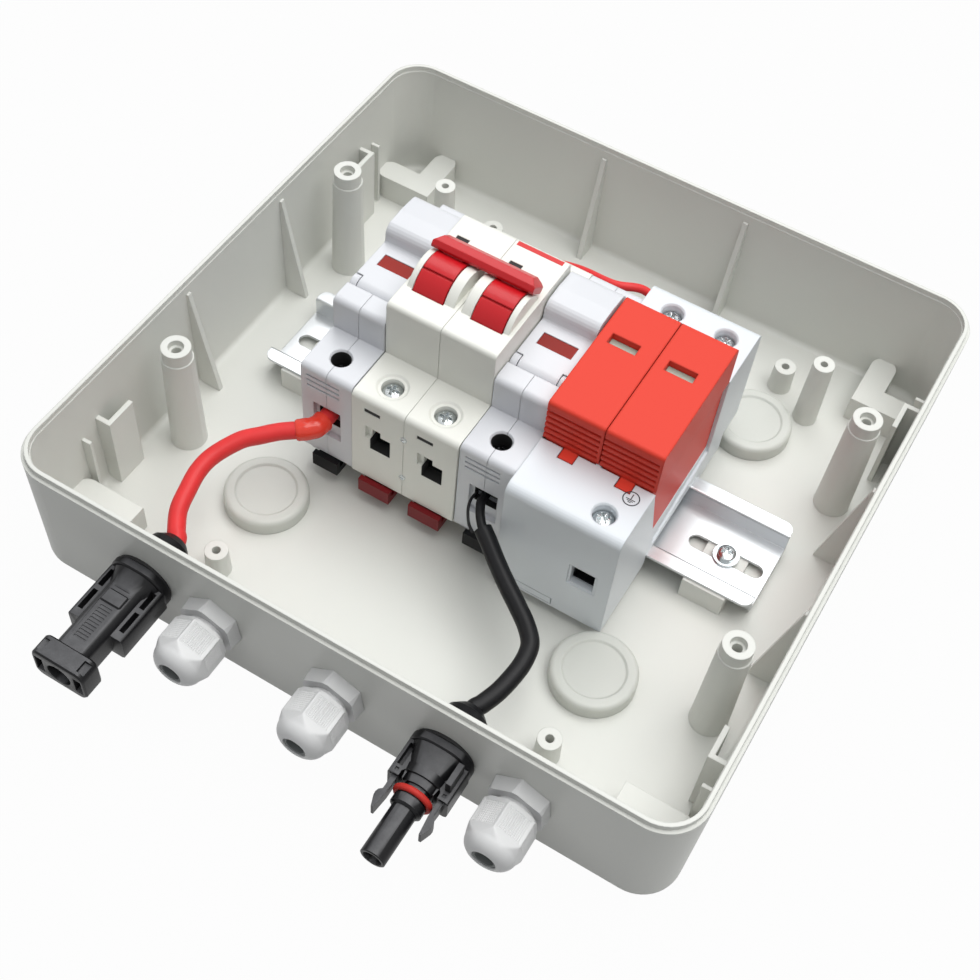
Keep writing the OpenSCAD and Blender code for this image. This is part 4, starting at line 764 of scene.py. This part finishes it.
def tube_tree():
    """Round tube along a curve."""
    g = Graph("lead_tube", {"Diameter": "Float", "Sides": "Int", "Finish": "Material"})
    radius = g.maths("MULTIPLY", g.size("Diameter"), 0.5)
    ring = g.node("GeometryNodeCurvePrimitiveCircle", None,
                  {"Resolution": g.size("Sides"), "Radius": radius})[0]
    tube = g.node("GeometryNodeCurveToMesh", None,
                  {"Curve": g.start.outputs[0], "Profile Curve": ring, "Fill Caps": True})[0]
    return g.close(g.node("GeometryNodeSetShadeSmooth", None, {"Geometry": tube})[0])


def sweep(tree, name, points, diameter, material):
    """Mesh of a tube along a line of points."""
    curve = bpy.data.curves.new(name, "CURVE")
    curve.dimensions = "3D"
    line = curve.splines.new("POLY")
    line.points.add(len(points) - 1)
    for spot, p in zip(line.points, points):
        spot.co = (*(p * MM), 1.0)
    values = {"Diameter": diameter * MM, "Sides": TUBE_SIDES, "Finish": MATERIALS[material]}
    return tree.apply(linked(name, curve), values)


def sleeve_solid(points, inner, outer):
    """Tube of shrunk sleeve round a line of points, slightly wavy and drawn in at its ends."""
    last = len(points) - 1
    section = [(p, outer - 0.35 * (i in (0, last)) - 0.05 * math.sin(i * 0.9))
               for i, p in enumerate(points)]
    section += [(p, inner) for p in reversed(points)]
    turns = [2 * math.pi * n / SLEEVE_SIDES for n in range(SLEEVE_SIDES)]
    bm = bmesh.new()
    rings = []
    for i, (p, reach) in enumerate(section):
        k = min(i, len(section) - 1 - i)
        ahead = (points[min(k + 1, last)] - points[max(k - 1, 0)]).normalized()
        side = ahead.cross(Vector((0, 0, 1))).normalized()
        up = side.cross(ahead)
        rings.append([bm.verts.new(p + reach * (math.cos(a) * side + math.sin(a) * up)) for a in turns])
    bridge(bm, rings + rings[:1])
    return outward(bm)


class COMBINER_OT_leads(bpy.types.Operator):
    """Makes the two leads, the red lead's sleeve, the peeled strip and the jumpers behind the devices"""
    bl_idname = "combiner.leads"
    bl_label = "Leads"

    def execute(self, context):
        size = context.scene.combiner_lead
        tree = tube_tree()
        lead_d = size.diameter / MM
        for name, node, route, d, material in (
                ("lead_positive_wire", "lead_positive", POSITIVE_ROUTE, lead_d, "cable_red"),
                ("lead_negative_wire", "lead_negative", NEGATIVE_ROUTE, lead_d, "cable_black"),
                ("lead_negative_core", "lead_negative", CORE_ROUTE, CORE_D, "cable_black"),
                ("sleeve_negative_strip", "sleeve_negative", PEEL_ROUTE, PEEL_D, "cable_black"),
                ("jumper_positive_short", "jumper_positive", POSITIVE_JUMPERS[0], JUMPER_D, "cable_red"),
                ("jumper_positive_long", "jumper_positive", POSITIVE_JUMPERS[1], JUMPER_D, "cable_red"),
                ("jumper_negative_short", "jumper_negative", NEGATIVE_JUMPERS[0], JUMPER_D, "cable_black"),
                ("jumper_negative_long", "jumper_negative", NEGATIVE_JUMPERS[1], JUMPER_D, "cable_black")):
            points = smooth_route(route)
            piece = sweep(tree, name, points, d, material)
            tie_to_box(piece, material, node)
            # The bared core and the peeled strip are ends of the black lead, not leads
            if d >= JUMPER_D and route is not CORE_ROUTE:
                length = sum((b - a).length for a, b in zip(points, points[1:]))
                points[0] * MM
                d * MM
                [p * MM for p in points]
        points = smooth_route(POSITIVE_ROUTE[-5:-1])[8:]
        sleeve = sleeve_solid(points, lead_d / 2 + 0.05, size.sleeve / MM / 2)
        piece = new_piece("sleeve_positive_tube", sleeve, "sleeve_red", "red_rubber", "sleeve_positive")
        smooth(piece, 50)
        return {"FINISHED"}


# Connectors and glands

# Section of a connector's shoulder, as (distance from its middle, height)
SHOULDER = [(4.5, -5.8), (8, -5.8), (8.9, -5.2), (9.2, -4.2), (9.2, 2.4), (8.9, 3.2), (8.3, 3.5), (4.5, 3.5)]
# Plan of a latch arm, as (distance from the plug's middle, way from the shoulder's end)
LATCH_ARM = [(6.3, 2), (8, 2), (7.6, -4.6), (8.5, -5.4), (8.8, -6.4), (8.7, -7.4), (7.6, -10.4), (6.9, -10.4),
             (6.3, -5)]
# Slanted cut beside a latch arm's root, in the same plan
LATCH_GAP = [(4.7, -0.5), (5.9, -0.5), (5.9, 1.6), (5.2, 2.6)]
# Flange on the wall, as (distance from the wall, width, height, corner)
FLANGE = [(0, 19, 16, 7.4), (2.0, 19, 16, 7.4), (2.4, 18.4, 15.4, 7.2)]
SHELL_EDGE = 0.24


class COMBINER_OT_plug(bpy.types.Operator):
    """Makes the plug with its two latch arms"""
    bl_idname = "combiner.plug"
    bl_label = "Plug"

    def execute(self, context):
        x, y, z = PLUG_X, FLANGE_Y, ENTRY_Z
        end = y - 13
        solids = [
            rod_solid(x, z, BARREL_END_Y, y - 0.5, BARREL_R),
            loft_solid(x, y, z, FLANGE),
            loft_solid(x, y, z, [(2, 17.4, 15.0, 7.0), (8.2, 12.6, 12.0, 5.8), (8.3, 13.0, 12.5, 6.0),
                                 (10.8, 12.4, 11.8, 5.7), (10.9, 10.8, 10.4, 5.1), (13, 9.6, 9.6, 4.7)]),
            rod_solid(x, z, end + 1, end - 3.6, 4.0),
            rod_solid(x, z, end - 3.4, end - 5.8, 4.7),
            rod_solid(x, z, end - 5.7, end - 6.4, 4.7, 4.0),
            rod_solid(x, z, end + 1, end - 21.2, 3.7),
            rod_solid(x, z, end - 21.1, end - 21.4, 3.7, 3.4),
        ]
        cutters = [rod_solid(x, z, end - 8, end - 30, 2.3), rod_solid(x, z, end - 20.4, end - 22, 2.3, 3.1)]
        for s in (-1, 1):
            solids.append(prism_solid([(x + s * a, z + b) for a, b in SHOULDER], "y", y - 2, end))
            solids.append(prism_solid([(x + s * a, end + b) for a, b in LATCH_ARM], "z", z - 2.2, z + 2.2))
            gap = prism_solid([(x + s * a, end + b) for a, b in LATCH_GAP], "z", z - 8, z + 8)
            side, root, tip = x + s * 7.3, x + s * 7.2, x + s * 8
            cutters.append(box_solid((side - 0.8, end + 2.8, z + 0.6), (side + 0.8, y - 3.4, z + 8)))
            cutters.append(gap)
            cutters.append(box_solid((root - 0.5, end + 1.9, z + 2.9), (root + 0.5, end + 0.9, z + 5)))
            cutters.append(box_solid((tip - 0.5, end - 3.8, z + 1.9), (tip + 2, end + 0.2, z + 3)))
        dress_shell(carve("plug_shell", solids, cutters), "plug_body")
        ring = bmesh.new()
        turns = [2 * math.pi * k / 20 for k in range(21)]
        add_lathe(ring, [(5 + 0.94 * math.cos(a), 0.94 * math.sin(a)) for a in turns],
                  (x, y - 15.2, z), (0, -1, 0), 56)
        clean(ring, 0.001)
        smooth(new_piece("plug_o_ring", ring, "red_rubber", "red_rubber", "plug_seal_ring"), 60)
        return {"FINISHED"}


class COMBINER_OT_socket(bpy.types.Operator):
    """Makes the socket with its side rails and its open wide end"""
    bl_idname = "combiner.socket"
    bl_label = "Socket"

    def execute(self, context):
        x, y, z = SOCKET_X, FLANGE_Y, ENTRY_Z
        wide = 20.5
        tee = 29.5
        end = 36
        solids = [
            rod_solid(x, z, BARREL_END_Y, y - 0.5, BARREL_R),
            loft_solid(x, y, z, FLANGE),
            loft_solid(x, y, z, [(2, 17.0, 14.6, 6.8), (7.4, 12.4, 12.2, 5.4), (8.2, 11.8, 11.8, 4.4)]),
            loft_solid(x, y, z, [(2, 10.8, 11.4, 2.6), (end - 2, 10.8, 11.4, 2.6)]),
            loft_solid(x, y, z, [(tee, 16.8, 11.2, 2.4), (tee + 0.5, 17.6, 12, 2.8),
                                 (end - 0.5, 17.6, 12, 2.8), (end, 16.8, 11.2, 2.4)]),
            loft_solid(x, y, z + 4.9, [(9.4, 6.4, 2.0, 0.8), (9.8, 7.0, 2.6, 0.8), (13.4, 7.0, 2.6, 0.8),
                                       (13.8, 6.4, 2.0, 0.8)]),
        ]
        cutters = [rod_solid(x, z, y - 18, y - 40, 3.9)]
        for k in range(11):
            groove = y - 1.1 * k
            cutters.append(box_solid((x - 1.9, groove - 15.4, z + 5.45), (x + 1.9, groove - 14.8, z + 7)))
        for s in (-1, 1):
            solids.append(prism_solid([(x + s * a, z + b) for a, b in SHOULDER], "y", y - 2, y - wide))
            slot, pocket, dent = x + s * 7.1, x + s * 6.5, x + s * 6.9
            for a, b in ((3.6, 9.4), (11, 18)):
                cutters.append(box_solid((slot - 0.8, y - b, z - 8), (slot + 0.8, y - a, z + 8)))
            cutters.append(box_solid((pocket - 1.3, y - end - 1, z - 3.4),
                                     (pocket + 1.3, y - tee - 1, z + 3.4)))
            cutters.append(box_solid((dent - 1.1, y - end + 1.4, z + 4.9),
                                     (dent + 1.1, y - tee - 1.4, z + 8)))
        dress_shell(carve("socket_shell", solids, cutters), "socket_body")
        return {"FINISHED"}


GLAND_SIDES = 288
GLAND_FLATS = 15.0
GLAND_TURN = 7.0
CAP_START_Y = FRONT_Y - 6.1
RIDGE_PITCH = 0.62
RIDGE_DEPTH = 0.11
RING_DEPTH = 0.09


def gland_reach(angle, r, distance, ribbed, odd):
    """Radius of the cap nut at an angle: round, flattened to a hexagon, and ribbed on the flats."""
    flat = GLAND_FLATS / 2
    turn = (angle + math.pi / 6) % (math.pi / 3) - math.pi / 6
    across = flat * math.tan(turn)
    reach = min(r, flat / math.cos(turn))
    if ribbed and reach < r and 1.4 < distance < 8.1 and abs(across) < 3.7:
        ridge = math.cos(2 * math.pi * across / RIDGE_PITCH) > 0
        reach -= RIDGE_DEPTH * (not ridge) + RING_DEPTH * odd
    return reach


class COMBINER_OT_glands(bpy.types.Operator):
    """Makes the ribbed cap nuts of the cable glands"""
    bl_idname = "combiner.glands"
    bl_label = "Glands"

    def execute(self, context):
        # Outside and bore of a cap nut, as (radius, distance from its foot)
        shell = [(8, 0), (8.75, 0.8)] + [(8.75, 0.8 + 0.32 * k) for k in range(1, 24)]
        shell += [(8.6, 8.6), (8.4, 9)] + [(8.4 - 0.21 * k, 9 + 0.45 * k) for k in range(1, 4)]
        dome = [math.radians(a) for a in range(8, 79, 7)]
        shell += [(3.2 + 4.4 * math.cos(a), 10.2 + 4.4 * math.sin(a)) for a in dome]
        shell += [(3.9, 14.6)]
        bore = [(3.6, 14.5), (3.6, 12.2), (5.8, 9.6), (5.8, 0)]
        bm = bmesh.new()
        for gland in GLANDS_X:
            rings = []
            for i, (r, t) in enumerate(shell + bore):
                ring = []
                for k in range(GLAND_SIDES):
                    a = 2 * math.pi * k / GLAND_SIDES
                    reach = gland_reach(a, r, t, i < len(shell), i % 2)
                    spot = a + math.radians(GLAND_TURN)
                    ring.append(bm.verts.new((gland + reach * math.cos(spot), CAP_START_Y - t,
                                              ENTRY_Z + reach * math.sin(spot))))
                rings.append(ring)
            for a, b in zip(rings, rings[1:] + rings[:1]):
                for k in range(GLAND_SIDES):
                    m = (k + 1) % GLAND_SIDES
                    bm.faces.new((a[k], b[k], b[m], a[m]))
        clean(bm)
        smooth(new_piece("gland_cap_nuts", bm, "nylon_white", "nylon_white", "gland_caps"), 28)
        return {"FINISHED"}


# Small forms on the devices

RIVET = [(0, 0), (1.1, 0), (1.1, 0.25), (0.75, 0.45), (0.5, 0.45), (0.42, 0.2), (0, 0.2)]
# Section of a thin near-black tube that paints the shade in a screw well
WELL_SHADE_TUBE = [(2.94, 0), (3.09, 0), (3.09, 6.9), (2.94, 6.9), (2.94, 0)]


class COMBINER_OT_details(bpy.types.Operator):
    """Makes near-black pieces that paint the shade in slots, screw wells and wire openings, and the breaker's
    rivets
    """
    bl_idname = "combiner.details"
    bl_label = "Details"

    def execute(self, context):
        deep = bmesh.new()
        rivets = bmesh.new()
        for side in (-1, 1):
            face = RAIL_Y + side * BREAKER_FRONT
            front = face - side * 0.12
            back = face - side * 0.85
            inner = face - side * 3.6
            for x in (POLE_A, POLE_B):
                # Painted shade: near-black boxes in the small slot, then on the floor and one wall of the
                # wire opening
                for depth, x0, x1, z0, z1 in ((back, -4.55, 0.75, 33.45, 34.95),
                                              (inner, -2.55, 4.35, 17.02, 17.3),
                                              (inner, -2.58, -2.3, 17.02, 21.5)):
                    near, far = sorted((front, depth))
                    add_box(deep, (x + x0, near, RAIL_Z + z0), (x + x1, far, RAIL_Z + z1))
            for z in (29.5, 11.0):
                add_lathe(rivets, RIVET, (BREAKER_X + 18, face - side * 0.02, RAIL_Z + z), (0, side, 0), 24)
        top = RAIL_Z + NOSE_Z
        # Near-black boxes as painted shade in the recesses on the breaker's top
        for x in (POLE_A, POLE_B):
            add_box(deep, (x - 6.27, RAIL_Y + 10.53, top - 1.17), (x - 2.13, RAIL_Y + 11.87, top - 0.15))
        clean(deep)
        new_piece("breaker_slot_painted_shade", deep, "painted_shade_black", "black_plastic")
        clean(rivets)
        smooth(new_piece("breaker_rivets", rivets, "steel", "steel"), 35)
        mouth, throat = RAIL_Y - 38.17, RAIL_Y - 36.05
        floor = RAIL_Z + CAGE_Z
        # Near-black tubes in the screw wells and boxes in the wire openings, as painted shade
        for name, x in (("fuse_a_well_painted_shade", WIRE_A), ("fuse_b_well_painted_shade", WIRE_B)):
            bm = bmesh.new()
            for y in FUSE_SCREWS_Y:
                add_lathe(bm, WELL_SHADE_TUBE, (x, y, RAIL_Z + 32.1), (0, 0, 1), 40)
            for side in (-1, 1):
                near, far = sorted((x + side * 3.62, x + side * 3.77))
                add_box(bm, (near, mouth, floor - 0.2), (far, throat, floor + 8.4))
            add_box(bm, (x - 3.6, mouth, floor - 0.37), (x + 3.6, throat, floor - 0.22))
            clean(bm)
            smooth(new_piece(name, bm, "painted_shade_black", "black_plastic"), 35)
        return {"FINISHED"}


PRINT_TOP = 0.06
PRINT_FOOT = -0.02
EARTH_RADIUS = 2.35
EARTH_LINE = 0.16
EARTH_SIDES = 48
# Stem and three bars of the earth mark, as corners round its middle
EARTH_BARS = (((-0.14, -0.3), (0.14, 1.6)), ((-1.4, -0.5), (1.4, -0.24)), ((-0.95, -0.98), (0.95, -0.74)),
              ((-0.5, -1.45), (0.5, -1.22)))


class COMBINER_OT_marks(bpy.types.Operator):
    """Prints the plain coloured field and the earth mark"""
    bl_idname = "combiner.marks"
    bl_label = "Marks"

    def execute(self, context):
        top = RAIL_Z + NOSE_Z
        field = box_solid((BREAKER_X + 18.9, RAIL_Y + 18.3, top + PRINT_FOOT),
                          (BREAKER_X + 34.3, RAIL_Y + 20.0, top + PRINT_TOP))
        new_piece("breaker_red_field", field, "print_red", "toggle_red")
        bm = bmesh.new()
        cx, cy, deck = ARRESTER_X + 31.2, RAIL_Y - 30.3, RAIL_Z + ARRESTER_DECK_Z
        turns = [2 * math.pi * k / EARTH_SIDES for k in range(EARTH_SIDES)]
        rings = []
        for s, h in ((-EARTH_LINE, PRINT_FOOT), (EARTH_LINE, PRINT_FOOT), (EARTH_LINE, PRINT_TOP),
                     (-EARTH_LINE, PRINT_TOP)):
            r = EARTH_RADIUS + s
            ring = [(cx + r * math.cos(a), cy + r * math.sin(a), deck + h) for a in turns]
            rings.append([bm.verts.new(p) for p in ring])
        bridge(bm, rings + rings[:1])
        for a, b in EARTH_BARS:
            add_box(bm, (cx + a[0], cy + a[1], deck + PRINT_FOOT), (cx + b[0], cy + b[1], deck + PRINT_TOP))
        new_piece("earth_mark", outward(bm), "print_black", "black_rubber")
        return {"FINISHED"}


# Stage: the camera as fitted to the photo, in millimetres, and the lamps in metres

CAMERA_PLACE = (115.49, -260.86, 390.69)
CAMERA_RIGHT = (0.858484, 0.508209, 0.068763)
CAMERA_DOWN = (0.450235, -0.682680, -0.575531)
CAMERA_AHEAD = (-0.245547, 0.525044, -0.814884)
# Name, place, aim, width and length, share of the key light's power, tint
LAMPS = (
    ("window_light", (0.36, 0.2, 1.4), (0, 0, 0.02), (1.1, 1.1), 1.0, (1.0, 1.0, 0.985)),
    ("back_light", (-0.42, 0.92, 1.4), (0, 0, 0.02), (0.9, 0.8), 0.45, (0.99, 0.995, 1.0)),
)
FLOOR_REACH = 6.0
FLOOR_Z = -0.0005
FLOOR_GREY = (0.34, 0.34, 0.34, 1.0)
FLOOR_SHARE = 0.97
SKY_TINT = (0.96, 0.98, 1.0, 1.0)
WHITE = (1, 1, 1, 1)


def set_camera(scene, lens):
    camera = bpy.data.cameras.new("camera")
    camera.sensor_width = 36.0
    camera.lens = lens
    camera.clip_end = 20.0
    viewer = linked("camera", camera)
    turn = Matrix((Vector(CAMERA_RIGHT), -Vector(CAMERA_DOWN), -Vector(CAMERA_AHEAD))).transposed()
    viewer.matrix_world = Matrix.Translation(Vector(CAMERA_PLACE) * MM) @ turn.to_4x4()
    scene.camera = viewer


def lay_floor():
    """Pale floor that shows white to the camera and in reflections."""
    r = FLOOR_REACH
    mesh = bpy.data.meshes.new("floor")
    mesh.from_pydata([(-r, -r, 0), (r, -r, 0), (r, r, 0), (-r, r, 0)], [], [(0, 1, 2, 3)])
    floor = linked("floor", mesh)
    floor.location.z = FLOOR_Z
    s = Shader("floor")
    diffuse = s.node("ShaderNodeBsdfDiffuse", None, {"Color": FLOOR_GREY})
    glow = s.node("ShaderNodeEmission", None, {"Color": WHITE, "Strength": 1.0})
    path = s.node("ShaderNodeLightPath")
    seen = (path["Is Camera Ray"] + path["Is Glossy Ray"] + path["Is Transmission Ray"]).clamped()
    s.surface(s.node("ShaderNodeMixShader", None, {0: seen * FLOOR_SHARE, 1: diffuse[0], 2: glow[0]})[0])
    mesh.materials.append(s.material)


def set_sky(scene, horizon, overhead):
    """Even light that grows from the horizon to the zenith; the camera and reflections see white."""
    world = bpy.data.worlds.new("studio")
    scene.world = world
    world.use_nodes = True
    tree = world.node_tree
    tree.nodes.clear()
    spot = add_node(tree, "ShaderNodeTexCoord").outputs["Generated"]
    up = add_node(tree, "ShaderNodeSeparateXYZ", None, {0: spot}).outputs["Z"]
    climb = add_node(tree, "ShaderNodeMapRange", None, {
        "Value": up, "From Min": 0.2, "From Max": 1.0, "To Min": horizon, "To Max": overhead}).outputs[0]
    soft = add_node(tree, "ShaderNodeBackground", None, {"Color": SKY_TINT, "Strength": climb}).outputs[0]
    white = add_node(tree, "ShaderNodeBackground", None, {"Color": WHITE}).outputs[0]
    rays = add_node(tree, "ShaderNodeLightPath").outputs
    seen = rays["Is Camera Ray"]
    for other in ("Is Glossy Ray", "Is Transmission Ray"):
        either = add_node(tree, "ShaderNodeMath", {"operation": "MAXIMUM"}, {0: seen, 1: rays[other]})
        seen = either.outputs[0]
    share = add_node(tree, "ShaderNodeMixShader", None, {0: seen, 1: soft, 2: white}).outputs[0]
    add_node(tree, "ShaderNodeOutputWorld", None, {"Surface": share})


class COMBINER_OT_stage(bpy.types.Operator):
    """Sets up the camera, the floor and the lights"""
    bl_idname = "combiner.stage"
    bl_label = "Stage"

    def execute(self, context):
        scene = context.scene
        set_up = scene.combiner_stage
        set_camera(scene, set_up.lens)
        lay_floor()
        set_sky(scene, set_up.horizon, set_up.fill)
        for name, place, aim, width, power, tint in LAMPS:
            light = bpy.data.lights.new(name, "AREA")
            light.shape = "RECTANGLE"
            light.size, light.size_y = width
            light.energy = power * set_up.key
            light.color = tint
            lamp = linked(name, light)
            lamp.location = place
            lamp.rotation_euler = (Vector(aim) - Vector(place)).to_track_quat("-Z", "Y").to_euler()
        scene.view_settings.view_transform = "Standard"
        return {"FINISHED"}


class COMBINER_PT_panel(bpy.types.Panel):
    """Panel that lists the steps"""
    bl_idname = "COMBINER_PT_panel"
    bl_label = "Combiner box"
    bl_space_type = "VIEW_3D"
    bl_region_type = "UI"
    bl_category = "Combiner"

    def draw(self, context):
        column = self.layout.column()
        for step in OPERATORS:
            column.operator(step.bl_idname, text=step.bl_label)


OPERATORS = [COMBINER_OT_finishes, COMBINER_OT_screws, COMBINER_OT_leads, COMBINER_OT_plug,
             COMBINER_OT_socket, COMBINER_OT_glands, COMBINER_OT_details, COMBINER_OT_marks,
             COMBINER_OT_stage]
GROUPS = {"combiner_finish": FinishSettings, "combiner_stage": StageSettings, "combiner_lead": LeadSettings,
          "combiner_screw": ScrewSettings}


def register():
    for group in GROUPS.values():
        bpy.utils.register_class(group)
    for step in OPERATORS:
        bpy.utils.register_class(step)
    bpy.utils.register_class(COMBINER_PT_panel)
    for name, group in GROUPS.items():
        setattr(bpy.types.Scene, name, bpy.props.PointerProperty(type=group))


def unregister():
    for name in GROUPS:
        delattr(bpy.types.Scene, name)
    bpy.utils.unregister_class(COMBINER_PT_panel)
    for step in reversed(OPERATORS):
        bpy.utils.unregister_class(step)
    for group in reversed(list(GROUPS.values())):
        bpy.utils.unregister_class(group)


def main():
    register()
    for step in OPERATORS:
        family, name = step.bl_idname.split(".")
        result = getattr(getattr(bpy.ops, family), name)()
        if "FINISHED" not in result:
            raise RuntimeError("%s did not finish" % step.bl_idname)


if __name__ == "__main__":
    main()
